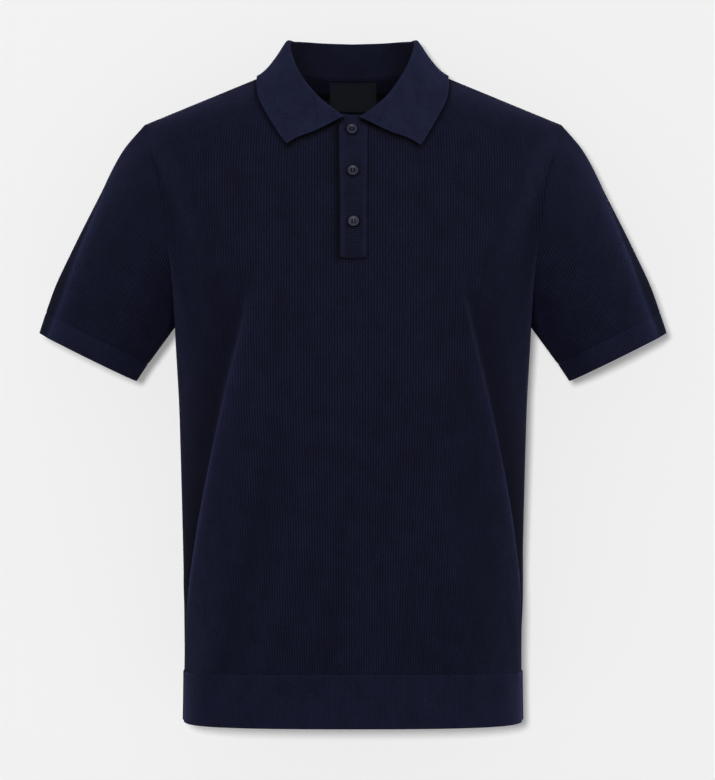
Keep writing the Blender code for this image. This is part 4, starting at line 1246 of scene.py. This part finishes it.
def neck_seam(front_start):
    """The middle of the neck seam from the front edge to the centre back, and its places."""
    crowd = np.concatenate([NECK_EDGE_STEPS[:-1], np.linspace(0.03, 1, 58)])
    front_shares = front_start + (NECK_SHARE - front_start) * crowd
    back_shares = np.linspace(NECK_SHARE, 0, 64)[1:]
    halves = []
    for face, shares, arrivals in (("front", front_shares, FRONT_ARRIVAL),
                                   ("back", back_shares, BACK_ARRIVAL)):
        line = top_line(face, shares)
        arrival = smooth_through(arrivals[:, 0], arrivals[:, 1:], shares)
        outward = unit(np.cross(np.gradient(line, axis=0), arrival))
        halves.append(line - outward * KNIT_WALL / 2)
    front_half, back_half = halves
    front_along = lengths_along(front_half)
    back_along = lengths_along(np.concatenate([front_half[-1:], back_half]))[1:]
    places = [front_along / front_along[-1], 1 + back_along / back_along[-1]]
    return np.concatenate(halves), np.concatenate(places)


def collar_half(stations):
    """Formula: a straight stand, an arc round the roll as far as the tangent to the leaf's edge,
    and a leaf with a hollow of 27/4 u^2 (1 - u), which is 1 at its deepest."""
    seam, places = neck_seam(SLOT_EDGE_SHARE)
    sizes = smooth_through(stations[:, 0], stations[:, 1:], places)
    level = np.clip((CHEST_ENDS - places) / CHEST_FADE, 0, 1)[:, None]
    on_shoulder = bell(places - 1, SHOULDER_SPREAD)
    rest = LEAF_REST + (SHOULDER_REST - LEAF_REST) * on_shoulder
    roll, edge = sizes[:, :3], panels.settled(sizes[:, 3:], rest, level)
    up = unit(roll - seam)
    out = edge - roll
    out = unit(out - (out * up).sum(axis=1, keepdims=True) * up)
    hub = roll - up * ROLL_RADIUS
    rise, reach = ((edge - hub) * up).sum(axis=1), ((edge - hub) * out).sum(axis=1)
    last = np.arctan2(reach, rise) + np.arcsin(ROLL_RADIUS / np.hypot(rise, reach))
    angles = np.linspace(0, 1, ROLL_ROWS)[:, None, None] * last[:, None]
    arc = hub + ROLL_RADIUS * (np.sin(angles) * up - np.cos(angles) * out)
    stand = seam + (arc[0] - seam) * STAND_STEPS[:, None, None]
    start = arc[-1]
    towards_body = unit(np.cross(np.gradient(roll, axis=0), edge - start))
    u = LEAF_STEPS[:, None, None]
    hollow = LEAF_HOLLOW * 27 / 4 * u * u * (1 - u)
    leaf = panels.cleared(start + (edge - start) * u + towards_body * hollow, rest)
    return np.concatenate([stand, arc, leaf])


left_stations = COLLAR_STATIONS.copy()
left_stations[:, [1, 3, 4, 6]] += LEFT_HALF_ADDS * MM
left_half = collar_half(left_stations)
right_half = collar_half(COLLAR_STATIONS) * (-1, 1, 1)
collar_grid = np.concatenate([left_half, right_half[:, -2::-1]], axis=1)
print("collar spans", np.ptp(collar_grid.reshape(-1, 3), axis=0))

# %% [markdown]
# ## The collar as one piece
# The wall has the same thickness everywhere but at its edges, where it rounds off. Inside,
# a welt runs along the neck seam. The neck is a deep hollow, so the cloth in it carries painted
# shade, and the leaf's border, its tips and the crest of its roll carry painted highlights.

# %% Collar
# painted shade inside the neck, and painted highlights on the leaf's border, tips and roll crest
COLLAR_INSIDE_SHADE = -0.42
COLLAR_SIDE_SHADE = -0.30
COLLAR_SIDE_START = 30 * MM
COLLAR_SEAM = -0.25
COLLAR_SEAM_PLACE, COLLAR_SEAM_WIDTH = 1.4 * MM, 1.2 * MM
COLLAR_PITCH = 1.5 * MM
NECK_WELT_WIDTH = 0.9 * MM
LEAF_BORDER_LIGHT = 0.15
LEAF_BORDER_WIDTH = 2.0 * MM
LEAF_TIP_LIGHT = 0.10
LEAF_TIP_REACH = 25 * MM
# rows past the stand: where the painted shade inside ends, where the painted light on the leaf
# starts and its crest
INSIDE_ENDS, LEAF_STARTS, CREST_ROW, ROWS_OF_FADE = 9, 6, 10, 3


def collar_tones(grid, up, from_end, to_edge):
    """Formula: painted shade inside as far as the roll, a dark seam line, and painted highlights
    on the crest of the roll, on the leaf's border and towards its tips."""
    row = np.arange(len(grid))[:, None] - STAND_ROWS
    at_side = np.clip(np.abs(grid[..., 0]) / COLLAR_SIDE_START - 1, 0, 1)
    inside = (COLLAR_INSIDE_SHADE + COLLAR_SIDE_SHADE * at_side) * np.clip(1 - row / INSIDE_ENDS, 0, 1)
    seam_line = COLLAR_SEAM * bell(up - COLLAR_SEAM_PLACE, COLLAR_SEAM_WIDTH)
    border = LEAF_BORDER_LIGHT * bell(to_edge, LEAF_BORDER_WIDTH)
    tip = LEAF_TIP_LIGHT * np.exp(-from_end / LEAF_TIP_REACH)
    leaf = np.clip((row - LEAF_STARTS) / ROWS_OF_FADE, 0, 1) * (border + tip)
    crest = LEAF_BORDER_LIGHT * bell(row - CREST_ROW, ROWS_OF_FADE)
    return {"painted_shading": inside + seam_line + leaf + crest}


def build_collar(grid):
    """Formula: half a wall to each side of the grid, thinner at the edges, and a welt inside."""
    normals = surface_normals(grid)
    up = lengths_along(grid)
    along = lengths_across(grid)
    from_end = np.minimum(along, along[:, -1:] - along)
    to_edge = np.minimum(from_end, up[-1] - up)
    thin = rounded_edge(to_edge, COLLAR_WALL / 2, COLLAR_EDGE)[..., None]
    welt = NECK_WELT_RISE * bell(up - NECK_WELT_PLACE, NECK_WELT_WIDTH)[..., None]
    outer = grid + normals * (COLLAR_WALL / 2 - thin)
    inner = grid - normals * (COLLAR_WALL / 2 - thin + welt)
    uv = np.stack([along[:1] / COLLAR_PITCH + 0 * up, up / COURSE], axis=-1)
    tones = collar_tones(grid, up, from_end, to_edge)
    mesh = cloth_mesh("knit_collar", outer, inner, uv, tones=tones)
    piece = add_piece("knit_collar", mesh, smooth_knit, "smooth_knit", "collar")
    state_cut(piece, grid, "folded", "knit_front", "knit_back")


build_collar(collar_grid)
leaf_starts = STAND_ROWS + ROLL_ROWS
leaf_ends = [collar_grid[leaf_starts:, 0], collar_grid[leaf_starts:, -1]]
leaf_edge = collar_grid[-1]

# %% [markdown]
# ## Placket
# Two strips close the slot, one over the other. The upper one is knitted sideways, so its
# ribs lie level, between two plain borders. It follows the chest it lies on, stands a little
# proud of it, and its free edge lifts. The under placket shows only at the top.

# %% Placket sizes
BUTTON_RADIUS = 5.8 * MM
BUTTON_THICKNESS = 2.6 * MM
BUTTON_SHANK = 0.9 * MM
BUTTON_HOLE_RADIUS = 0.85 * MM
BUTTON_HOLE_PLACE = 1.5 * MM
BUTTON_PLACES = ((-0.0010, -0.0600), (0.0, -0.1048), (0.0007, -0.1588))
BUTTON_SEAT = 0.5 * MM
BUTTON_SHADE = -0.7
BUTTON_SHADE_PLACE, BUTTON_SHADE_WIDTH = 1.10, 0.16
PLACKET_FOOT = -199.4 * MM
PLACKET_WALL = 1.6 * MM
PLACKET_PROUD = 1.2 * MM
PLACKET_PITCH = 2.35 * MM
PLACKET_TAB_RISE = 9 * MM
# how far past the border the ribs count as full, from where they fade upwards, how slowly
PLACKET_RIBS_IN, PLACKET_RIBS_FADE_FROM, PLACKET_RIBS_FADE = 0.5 * MM, 45 * MM, 150
PLACKET_ROWS, UNDER_PLACKET_ROWS = 190, 60
PLACKET_SHIFT = 0.4 * MM
PLACKET_EDGE = 0.9 * MM
# height, half width
PLACKET_WIDTHS = np.array([(-0.1994, 0.0138), (-0.130, 0.0140), (-0.075, 0.0146), (-0.052, 0.0138),
                           (-0.046, 0.0112)])
UNDER_PLACKET_WIDENING = 17 / 15
UNDER_PLACKET_TAB_WIDTH = 0.64
UNDER_PLACKET_PITCH = 1.6 * MM
FREE_EDGE_LIFT, FREE_EDGE_REACH = 1.1 * MM, 4 * MM
BORDER_LEFT, BORDER_RIGHT = 5.2 * MM, 4.0 * MM
GROOVE_DEPTH, GROOVE_WIDTH = 0.25 * MM, 0.7 * MM
print(f"the placket is {FRONT_NECKLINE[0, 2] / MM - PLACKET_FOOT / MM:.0f} mm long to the neck")

# %% [markdown]
# ## The two strips
# Both start from the chest's own surface, so they follow it. The distances to the strip's
# edges, to the grooves beside its borders and to the buttons give its whole relief: rounded
# edges, the free edge's lift and a shallow seat under each button.


# %% Placket
def chest_strip(shares, foot, rows):
    """The chest's own surface from this height up, and on past the neck in the same line."""
    top = FRONT_NECKLINE[0, 2]
    start = (foot - HEM_SEAM_MIDDLE) / (top - HEM_SEAM_MIDDLE)
    fractions = np.linspace(start, 1, rows)
    points = body_surface("front", shares, fractions)
    onward = unit(FRONT_ARRIVAL[0, 1:])
    tab = points[-1] + onward * (np.linspace(0, 1, 9)[1:, None, None] * PLACKET_TAB_RISE)
    return np.concatenate([points, tab])


def placket_relief(points, across, half_width, up):
    """Formula: the lift of the free edge, less the grooves and the buttons' seats, and how far
    the wall thins at its edges. It also gives where the ribs show and a ring of painted shadow
    round each button."""
    from_left, from_right = half_width * (across + 1), half_width * (1 - across)
    to_edge = np.minimum(np.minimum(from_left, from_right), np.minimum(up, up[-1] - up))
    thin = rounded_edge(to_edge, PLACKET_WALL / 2, PLACKET_EDGE)
    lift = FREE_EDGE_LIFT * bell(from_left, FREE_EDGE_REACH)
    in_left, in_right = from_left - BORDER_LEFT, from_right - BORDER_RIGHT
    groove = bell(in_left, GROOVE_WIDTH) + bell(in_right, GROOVE_WIDTH)
    shade, seat = np.zeros(up.shape), np.zeros(up.shape)
    for x, z in BUTTON_PLACES:
        away = np.hypot(points[..., 0] - x, points[..., 2] - z) / BUTTON_RADIUS
        # painted shadow: a dark ring on the cloth just past each button's rim
        shade += bell(away - BUTTON_SHADE_PLACE, BUTTON_SHADE_WIDTH)
        seat += np.exp(-(away**4))
    fade = PLACKET_RIBS_IN - np.maximum(up - PLACKET_RIBS_FADE_FROM, 0) / PLACKET_RIBS_FADE
    ribbed = np.minimum(np.minimum(in_left, in_right), fade)
    return lift, GROOVE_DEPTH * groove + BUTTON_SEAT * seat, thin, ribbed, BUTTON_SHADE * shade


def build_placket():
    """Formula: the chest's strip, as wide as the table says, with a wall that stands proud."""
    across = np.concatenate([[-1, -0.985, -0.96, -0.92], np.linspace(-0.86, 0.86, 33),
                             [0.92, 0.96, 0.985, 1]])
    points = chest_strip(across * SLOT_EDGE_SHARE, PLACKET_FOOT, PLACKET_ROWS)
    half_width = smooth_through(PLACKET_WIDTHS[:, 0], PLACKET_WIDTHS[:, 1], points[:, 0, 2])
    points[..., 0] = half_width * across + PLACKET_SHIFT
    normals, up = surface_normals(points), lengths_along(points)
    lift, sunk, thin, ribbed, shade = placket_relief(points, across, half_width, up)
    outer = points + normals * (PLACKET_PROUD + lift - thin - sunk)[..., None]
    inner = points + normals * (PLACKET_PROUD + lift - PLACKET_WALL + thin)[..., None]
    uv = np.stack([up / PLACKET_PITCH, ribbed / MM], axis=-1)
    mesh = cloth_mesh("placket_over", outer, inner, uv, tones={"painted_shading": shade})
    strip = add_piece("placket_over", mesh, placket_knit, "band_knit", "placket_upper")
    state_cut(strip, points, "laid", "knit_front")
    return points, strip


def build_under_placket():
    """Formula: a wider strip of the chest, one wall and one gap behind it, narrow at the top."""
    across = np.linspace(-1, 1, 13)
    points = chest_strip(across * SLOT_EDGE_SHARE, PLACKET_FOOT + 1 * MM, UNDER_PLACKET_ROWS)
    in_tab = points[..., 2] > FRONT_NECKLINE[0, 2]
    points[..., 0] *= UNDER_PLACKET_WIDENING * np.where(in_tab, UNDER_PLACKET_TAB_WIDTH, 1)
    normals = surface_normals(points)
    outer = points - normals * (KNIT_WALL + SEAM_GAP)
    inner = outer - normals * PLACKET_WALL
    uv = rib_uv(points, UP, len(across) // 2, UNDER_PLACKET_PITCH)
    mesh = cloth_mesh("placket_below", outer, inner, uv)
    strip = add_piece("placket_below", mesh, band_knit, "band_knit", "placket_under")
    state_cut(strip, points, "laid", "knit_front")


placket_points, placket = build_placket()
build_under_placket()

# %% [markdown]
# ## Shade beside the pieces on top
# Where the leaf or the placket lies on other cloth, a narrow dark line runs along its edge.
# Soft studio light washes out the one that the geometry throws, so the cloth beneath
# carries its distance to those edges, and the finish darkens it there.

# %% Shade beside the pieces on top
# how far the shade of an edge reaches, in mm, and how dark it is
UNDER_LEAF = (5.4, 0.95)
BESIDE_LEAF = (3.8, 0.62)
PLACKET_LEFT, PLACKET_FOOT_SHADE, PLACKET_RIGHT = (7.0, 0.65), (2.6, 0.7), (2.2, 0.45)
SHADE_MARGIN = 14 * MM


def even_line(line, step=0.8 * MM):
    """Formula: points at even steps along a line."""
    along = lengths_along(line)
    return read_line(np.arange(0, along[-1], step), along, line)


def shade_beside(mesh, edges):
    """Formula: distance in mm, seen from the front, to the nearest edge of a piece on top, with
    what it lies behind it over the margin added, and that edge's reach and darkness."""
    points = np.empty(len(mesh.vertices) * 3, np.float32)
    mesh.vertices.foreach_get("co", points)
    points = points.reshape(-1, 3)
    shade = np.tile((SHADE_MARGIN / MM, 1.0, 0.0), (len(points), 1))
    for line, (reach, dark) in edges:
        line = even_line(line).astype(np.float32)
        low, high = line.min(axis=0) - SHADE_MARGIN, line.max(axis=0) + SHADE_MARGIN
        near = np.nonzero(((points > low) & (points < high)).all(axis=1))[0]
        x, y, z = ((points[near, None, k] - line[:, k]) / MM for k in range(3))
        away = np.hypot(x, z) + np.maximum(np.abs(y) - SHADE_MARGIN / MM, 0)
        away = away.min(axis=1)
        closer = away < shade[near, 0]
        shade[near[closer], 0] = away[closer]
        shade[near[closer], 1:] = reach, dark
    set_values(mesh, "shade", shade)
    print(f"{mesh.name}: {int((shade[:, 2] > 0).sum())} points near an edge on top")


leaf_shades = [(line, UNDER_LEAF) for line in leaf_ends] + [(leaf_edge, BESIDE_LEAF)]
placket_shades = [(placket_points[:, 0], PLACKET_LEFT), (placket_points[0], PLACKET_FOOT_SHADE),
                  (placket_points[:, -1], PLACKET_RIGHT)]
shade_beside(front_mesh, leaf_shades + placket_shades)
shade_beside(back_mesh, [(leaf_edge, BESIDE_LEAF)])
shade_beside(placket.data, leaf_shades)

# %% [markdown]
# ## Buttons
# Each button is turned from resin: a disc with a round rim, a shallow dish and four holes.
# The disc is a profile swept round, and the holes are cut by four small cylinders. Two
# stitches of yarn run through them, one up each side.

# %% Shape of a button
DISC_SIDES, HOLE_SIDES = 64, 16
DRILL_HALF_LENGTH = 4 * MM
MERGE_DISTANCE = 0.001 * MM
# radius, height on the button, as shares of its radius and its thickness
BUTTON_PROFILE = np.array([
    (0.00, 0.76),
    (0.40, 0.77),
    (0.54, 0.80),
    (0.66, 0.90),
    (0.76, 0.98),
    (0.86, 0.98),
    (0.94, 0.92),
    (0.985, 0.76),
    (1.00, 0.52),
    (0.98, 0.30),
    (0.90, 0.08),
    (0.80, 0.00),
    (0.00, 0.00),
])


def turned(profile, sides):
    """Formula: (r cos t, r sin t, h) for each profile point and each of the turns t."""
    turns = np.linspace(0, 2 * math.pi, sides, endpoint=False)
    radius, height = profile.T
    ring = np.stack([radius[:, None] * np.cos(turns), radius[:, None] * np.sin(turns),
                     np.broadcast_to(height[:, None], (len(profile), sides))], axis=-1)
    r, c = np.indices((len(profile) - 1, sides))
    on = (c + 1) % sides
    quads = np.stack([r * sides + c, (r + 1) * sides + c, (r + 1) * sides + on, r * sides + on],
                     axis=-1)
    return ring.reshape(-1, 3), quads.reshape(-1, 4)


def merged_mesh(name, points, faces):
    """A closed mesh of these faces, with the points that fall together made one."""
    mesh = bpy.data.meshes.new(name)
    mesh.from_pydata(points, [], faces)
    work = bmesh.new()
    work.from_mesh(mesh)
    bmesh.ops.remove_doubles(work, verts=work.verts, dist=MERGE_DISTANCE)
    bmesh.ops.recalc_face_normals(work, faces=work.faces)
    work.to_mesh(mesh)
    work.free()
    return mesh


def button_blank():
    """The disc with its four holes cut through."""
    profile = BUTTON_PROFILE * (BUTTON_RADIUS, BUTTON_THICKNESS)
    disc = bpy.data.objects.new("disc", merged_mesh("disc", *turned(profile, DISC_SIDES)))
    drill = np.array([(0, 1), (1, 1), (1, -1), (0, -1)]) * (BUTTON_HOLE_RADIUS, DRILL_HALF_LENGTH)
    points, quads = turned(drill, HOLE_SIDES)
    places = np.array([(x, y, 0) for x in (-1, 1) for y in (-1, 1)]) * BUTTON_HOLE_PLACE
    quads = np.concatenate([quads + len(points) * number for number in range(len(places))])
    points = np.concatenate([points + place for place in places])
    drills = bpy.data.objects.new("drills", merged_mesh("drills", points, quads))
    for obj in (disc, drills):
        bpy.context.scene.collection.objects.link(obj)
    cut = disc.modifiers.new("holes", "BOOLEAN")
    cut.operation = "DIFFERENCE"
    cut.object = drills
    graph = bpy.context.evaluated_depsgraph_get()
    blank = bpy.data.meshes.new_from_object(disc.evaluated_get(graph))
    for obj in (disc, drills):
        bpy.data.objects.remove(obj)
    blank.shade_smooth()
    blank.set_sharp_from_angle(angle=math.radians(40))
    return blank


blank = button_blank()
print("a button has", len(blank.polygons), "faces")

# %% [markdown]
# ## Threads
# A stitch is a tube along a short path. A curve object with a bevel would make it too, but
# one mesh for many stitches is lighter, and the label's row of stitches uses it as well.

# %% Threads
THREAD_RADIUS = 0.52 * MM
THREAD_FOOT, THREAD_RISE = 0.62, 0.34


def stitch_mesh(name, centres, radius, sides=8):
    """Formula: a ring of points round each centre, square to the run of the centres."""
    ahead = unit(np.gradient(centres, axis=-2))
    beside = unit(np.cross(ahead, (0.13, 0.31, 0.94)))
    turns = np.linspace(0, 2 * math.pi, sides, endpoint=False)[:, None]
    beside, across = beside[..., None, :], np.cross(ahead, beside)[..., None, :]
    ring = np.cos(turns) * beside + np.sin(turns) * across
    points = centres[..., None, :] + ring * radius
    count, length = centres.shape[:2]
    strand, step, side = np.indices((count, length - 1, sides))
    base = (strand * length + step) * sides
    on = (side + 1) % sides
    quads = np.stack([base + side, base + on, base + sides + on, base + sides + side], axis=-1)
    mesh = bpy.data.meshes.new(name)
    mesh.from_pydata(points.reshape(-1, 3), [], quads.reshape(-1, 4))
    mesh.shade_smooth()
    return mesh


def button_threads():
    """Formula: from hole to hole, up as a half sine over the dish."""
    u = np.linspace(0, 1, 9)
    rise = BUTTON_THICKNESS * (THREAD_FOOT + THREAD_RISE * np.sin(math.pi * u))
    y = (2 * u - 1) * BUTTON_HOLE_PLACE
    strands = [np.stack([0 * u + x, y, rise], axis=-1)
               for x in (-BUTTON_HOLE_PLACE, BUTTON_HOLE_PLACE)]
    return stitch_mesh("thread", np.array(strands), THREAD_RADIUS)


def place_on_placket(mesh, x, z):
    """Turns a mesh so that its +Z is the placket's normal and sets it on the placket."""
    middle = placket_points.shape[1] // 2
    line = placket_points[:, middle]
    normals = surface_normals(placket_points)[:, middle]
    place, normal = read_line(z, line[:, 2], line), unit(read_line(z, line[:, 2], normals))
    place[0] = x
    place = place + normal * (PLACKET_PROUD + BUTTON_SHANK)
    turn = Vector(normal).to_track_quat("Z", "Y").to_matrix().to_4x4()
    mesh.transform(Matrix.Translation(place) @ turn)


print("a button's threads have", len(button_threads().polygons), "faces")

# %% [markdown]
# ## Setting the buttons on
# The resin is polished but full of fine clouds, as cast resin is, and the yarn is matt. Each
# button and its threads are turned to lie square on the placket, and moved into their mesh,
# so that the finished pieces sit at the origin.

# %% Buttons
RESIN_CLOUDS = 500


def resin():
    """Polished resin, clouded between two near tones."""
    n = Nodes("button_resin", Roughness=0.42, Specular_IOR_Level=0.30)
    cloud = n.noise(RESIN_CLOUDS, detail=3)
    n.plug(n.blend(cloud, (0.0148, 0.0170, 0.0310), (0.0202, 0.0230, 0.0415)),
           n.shader.inputs["Base Color"])
    return n.material


button_resin = resin()
sewing_yarn = Nodes("sewing_yarn", Base_Color=(0.0035, 0.004, 0.008, 1), Roughness=0.8,
                    Specular_IOR_Level=0.08).material
for number, (x, z) in enumerate(BUTTON_PLACES, start=1):
    disc_mesh, thread_mesh = blank.copy(), button_threads()
    for mesh in (disc_mesh, thread_mesh):
        place_on_placket(mesh, x, z)
    add_piece(f"resin_button_{number}", disc_mesh, button_resin, "button_resin",
              f"button_{number}")
    add_piece(f"button_thread_{number}", thread_mesh, sewing_yarn, None)

# %% [markdown]
# ## Neck label
# A bare satin label is sewn inside the back neck. It follows the back panel's inner side,
# so it is made as the panel is, one wall and one gap further in. A row of short stitches
# holds its top edge. Its weave is too fine to model, so faint level bands stand for it.

# %% Label
LABEL_HALF_WIDTH = 25.8 * MM
LABEL_DROP = 32 * MM
LABEL_WALL = 0.6 * MM
LABEL_BELOW_SEAM = 1.2 * MM
STITCHES, STITCH_LENGTH, STITCH_RADIUS = 22, 1.5 * MM, 0.18 * MM
STITCH_ROW, STITCH_MARGIN = -3, 2 * MM
STITCH_RISE, STITCH_STANDS_OFF = 0.25 * MM, 0.1 * MM


def satin():
    """Smooth weave: faint level bands and a soft gloss."""
    n = Nodes("label_satin", Roughness=0.42, Specular_IOR_Level=0.25)
    weave = n.noise(60, detail=2, stretch=(1, 1, 14))
    n.plug(n.blend(weave, (0.0095, 0.0103, 0.0150), (0.0132, 0.0142, 0.0200)),
           n.shader.inputs["Base Color"])
    return n.material


def build_label():
    """Formula: the back panel's surface below the neck seam, moved in by a wall and a gap."""
    share = LABEL_HALF_WIDTH / BACK_NECKLINE[-1, 0] * NECK_SHARE
    across = np.concatenate([[1, 0.98, 0.95], np.linspace(0.9, -0.9, 25), [-0.95, -0.98, -1]])
    down = np.concatenate([np.linspace(1, 0.04, 30), [0.02, 0]])
    top = BACK_NECKLINE[0, 2]
    heights = top - LABEL_BELOW_SEAM - LABEL_DROP * down
    fractions = (heights - HEM_SEAM_MIDDLE) / (top - HEM_SEAM_MIDDLE)
    points = body_surface("back", across * share, fractions)
    points[..., 0] = across * LABEL_HALF_WIDTH
    normals = surface_normals(points)
    outer = points - normals * (KNIT_WALL + SEAM_GAP)
    inner = outer - normals * LABEL_WALL
    uv = np.stack([points[..., 0], points[..., 2]], axis=-1) / MM
    mesh = cloth_mesh("satin_label", outer, inner, uv)
    piece = add_piece("satin_label", mesh, satin(), "label_satin", "neck_label")
    state_cut(piece, points, "hung", "knit_back")
    return inner - normals * STITCH_STANDS_OFF


def label_stitches(face):
    """Formula: short arcs of thread at even steps along a row near the label's top edge."""
    line = face[STITCH_ROW]
    along = lengths_along(line)
    starts = np.linspace(STITCH_MARGIN, along[-1] - STITCH_MARGIN - STITCH_LENGTH, STITCHES)
    u = np.linspace(0, 1, 5)
    centres = read_line(starts[:, None] + STITCH_LENGTH * u, along, line)
    centres[..., 1] -= STITCH_RISE * np.sin(math.pi * u)
    return stitch_mesh("label_stitches", centres, STITCH_RADIUS, sides=6)


add_piece("label_stitches", label_stitches(build_label()), sewing_yarn, None)

# %% [markdown]
# ## Camera
# The sweater is seen straight on from a few metres, at the height of its middle.

# %% Camera
CAMERA_DISTANCE = 3.6
CAMERA_PLACE = (4.86 * MM, -CAMERA_DISTANCE, -334.8 * MM)
FRAME_HEIGHT = 842.4 * MM
SENSOR_WIDTH = 36
camera_data = bpy.data.cameras.new("camera")
camera_data.sensor_width = SENSOR_WIDTH
camera_data.lens = SENSOR_WIDTH * CAMERA_DISTANCE / FRAME_HEIGHT
camera = bpy.data.objects.new("camera", camera_data)
camera.location = CAMERA_PLACE
camera.rotation_euler = (math.pi / 2, 0, 0)
bpy.context.scene.collection.objects.link(camera)
bpy.context.scene.camera = camera
bpy.context.scene.view_settings.view_transform = "Standard"
print(f"lens: {camera_data.lens:.0f} mm")

# %% [markdown]
# ## Backdrop and floor
# The paper behind hangs close to the back, so the sweater throws a soft shadow on it. It is
# seen from its front only, and it takes its light from one lamp of its own. A studio would
# light a backdrop apart in the same way, to keep it even.

# %% Backdrop and floor
BACKDROP_Y = 0.135
BACKDROP_HALF_WIDTH = BACKDROP_TOP = 4
FLOOR_Z = -0.86
FLOOR_FRONT, FLOOR_BACK = -6, 4
PAPER_GLOW = 0.235
FLOOR_GLOW = 0.56


def plane(name, corners, glow):
    """One quad of white paper that glows a little, unseen by diffuse, glossy and shadow rays."""
    mesh = bpy.data.meshes.new(name)
    mesh.from_pydata(corners, [], [(0, 1, 2, 3)])
    mesh.materials.append(paper(f"{name}_paper", glow))
    sheet = bpy.data.objects.new(name, mesh)
    bpy.context.scene.collection.objects.link(sheet)
    sheet.visible_diffuse = sheet.visible_glossy = sheet.visible_shadow = False
    return sheet


def paper(name, glow):
    """White paper, seen from its front only: the shader in front, nothing behind."""
    n = Nodes(name, Base_Color=(0.8, 0.8, 0.8, 1), Roughness=1.0, Specular_IOR_Level=0.0,
              Emission_Color=(1, 1, 1, 1), Emission_Strength=glow)
    sides = n.add("ShaderNodeMixShader")
    n.plug(n.add("ShaderNodeNewGeometry").outputs["Backfacing"], sides.inputs["Fac"])
    n.plug(n.shader.outputs["BSDF"], sides.inputs[1])
    n.plug(n.add("ShaderNodeBsdfTransparent").outputs["BSDF"], sides.inputs[2])
    n.plug(sides.outputs["Shader"], n.tree.nodes["Material Output"].inputs["Surface"])
    return n.material


side = BACKDROP_HALF_WIDTH
backdrop = plane("backdrop", [(-side, BACKDROP_Y, FLOOR_Z), (side, BACKDROP_Y, FLOOR_Z),
                              (side, BACKDROP_Y, BACKDROP_TOP), (-side, BACKDROP_Y, BACKDROP_TOP)],
                 PAPER_GLOW)
floor = plane("floor", [(-side, FLOOR_FRONT, FLOOR_Z), (side, FLOOR_FRONT, FLOOR_Z),
                        (side, FLOOR_BACK, FLOOR_Z), (-side, FLOOR_BACK, FLOOR_Z)], FLOOR_GLOW)
print("stage:", backdrop.name, "and", floor.name)

# %% [markdown]
# ## Light
# Four softboxes light the cloth: one at each side rakes across the folds, one from the front
# opens the shadows, and one behind serves whoever walks round. A bare lamp lights the paper
# alone and throws the soft shadow on it. Light linking keeps the two sets apart, as flags
# and barn doors would.

# %% Lights
PAPER_TONE = 0.88
WORLD_LIGHT = 0.22
AIM = (0, 0, -0.35)
# name, place, width and height of the box, watts
SOFTBOXES = (
    ("left_softbox", (-2.9, -1.9, 0.5), (1.4, 2.2), 21),
    ("right_softbox", (2.9, -1.9, 0.5), (1.4, 2.2), 34),
    ("front_fill", (0, -4.0, 0.9), (2.4, 1.6), 97),
    ("back_fill", (0, 4.0, 0.5), (2.4, 1.6), 125),
)
PAPER_LAMP_PLACE, PAPER_LAMP_RADIUS, PAPER_WATTS = (-0.164, -4.02, -0.20), 0.13, 452
world = bpy.data.worlds.new("pale_studio")
bpy.context.scene.world = world
world.use_nodes = True
world_nodes, links = world.node_tree.nodes, world.node_tree.links
seen = world_nodes["Background"]
seen.inputs["Color"].default_value = (PAPER_TONE, PAPER_TONE, PAPER_TONE, 1)
given = world_nodes.new("ShaderNodeBackground")
given.inputs["Strength"].default_value = WORLD_LIGHT
which = world_nodes.new("ShaderNodeMixShader")
links.new(world_nodes.new("ShaderNodeLightPath").outputs["Is Camera Ray"], which.inputs["Fac"])
links.new(given.outputs["Background"], which.inputs[1])
links.new(seen.outputs["Background"], which.inputs[2])
links.new(which.outputs["Shader"], world_nodes["World Output"].inputs["Surface"])

stage_only = bpy.data.collections.new("lit_by_the_paper_lamp")
cloth_only = bpy.data.collections.new("lit_by_the_softboxes")
stage_only.objects.link(backdrop)
for piece in bpy.context.scene.collection.all_objects:
    if piece.type == "MESH" and piece not in (backdrop, floor):
        cloth_only.objects.link(piece)


def add_light(data, place, watts, receivers):
    """Formula: a lamp at a place, its -Z along aim - place, for some receivers only."""
    data.energy = watts
    light = bpy.data.objects.new(data.name, data)
    light.location = place
    direction = Vector(AIM) - light.location
    light.rotation_euler = direction.to_track_quat("-Z", "Y").to_euler()
    light.light_linking.receiver_collection = receivers
    bpy.context.scene.collection.objects.link(light)
    print(f"{data.name}: {watts} W, {direction.length:.1f} m from the sweater")


for name, place, size, watts in SOFTBOXES:
    box = bpy.data.lights.new(name, "AREA")
    box.shape = "RECTANGLE"
    box.size, box.size_y = size
    add_light(box, place, watts, cloth_only)
lamp = bpy.data.lights.new("paper_lamp", "POINT")
lamp.shadow_soft_size = PAPER_LAMP_RADIUS
add_light(lamp, PAPER_LAMP_PLACE, PAPER_WATTS, stage_only)
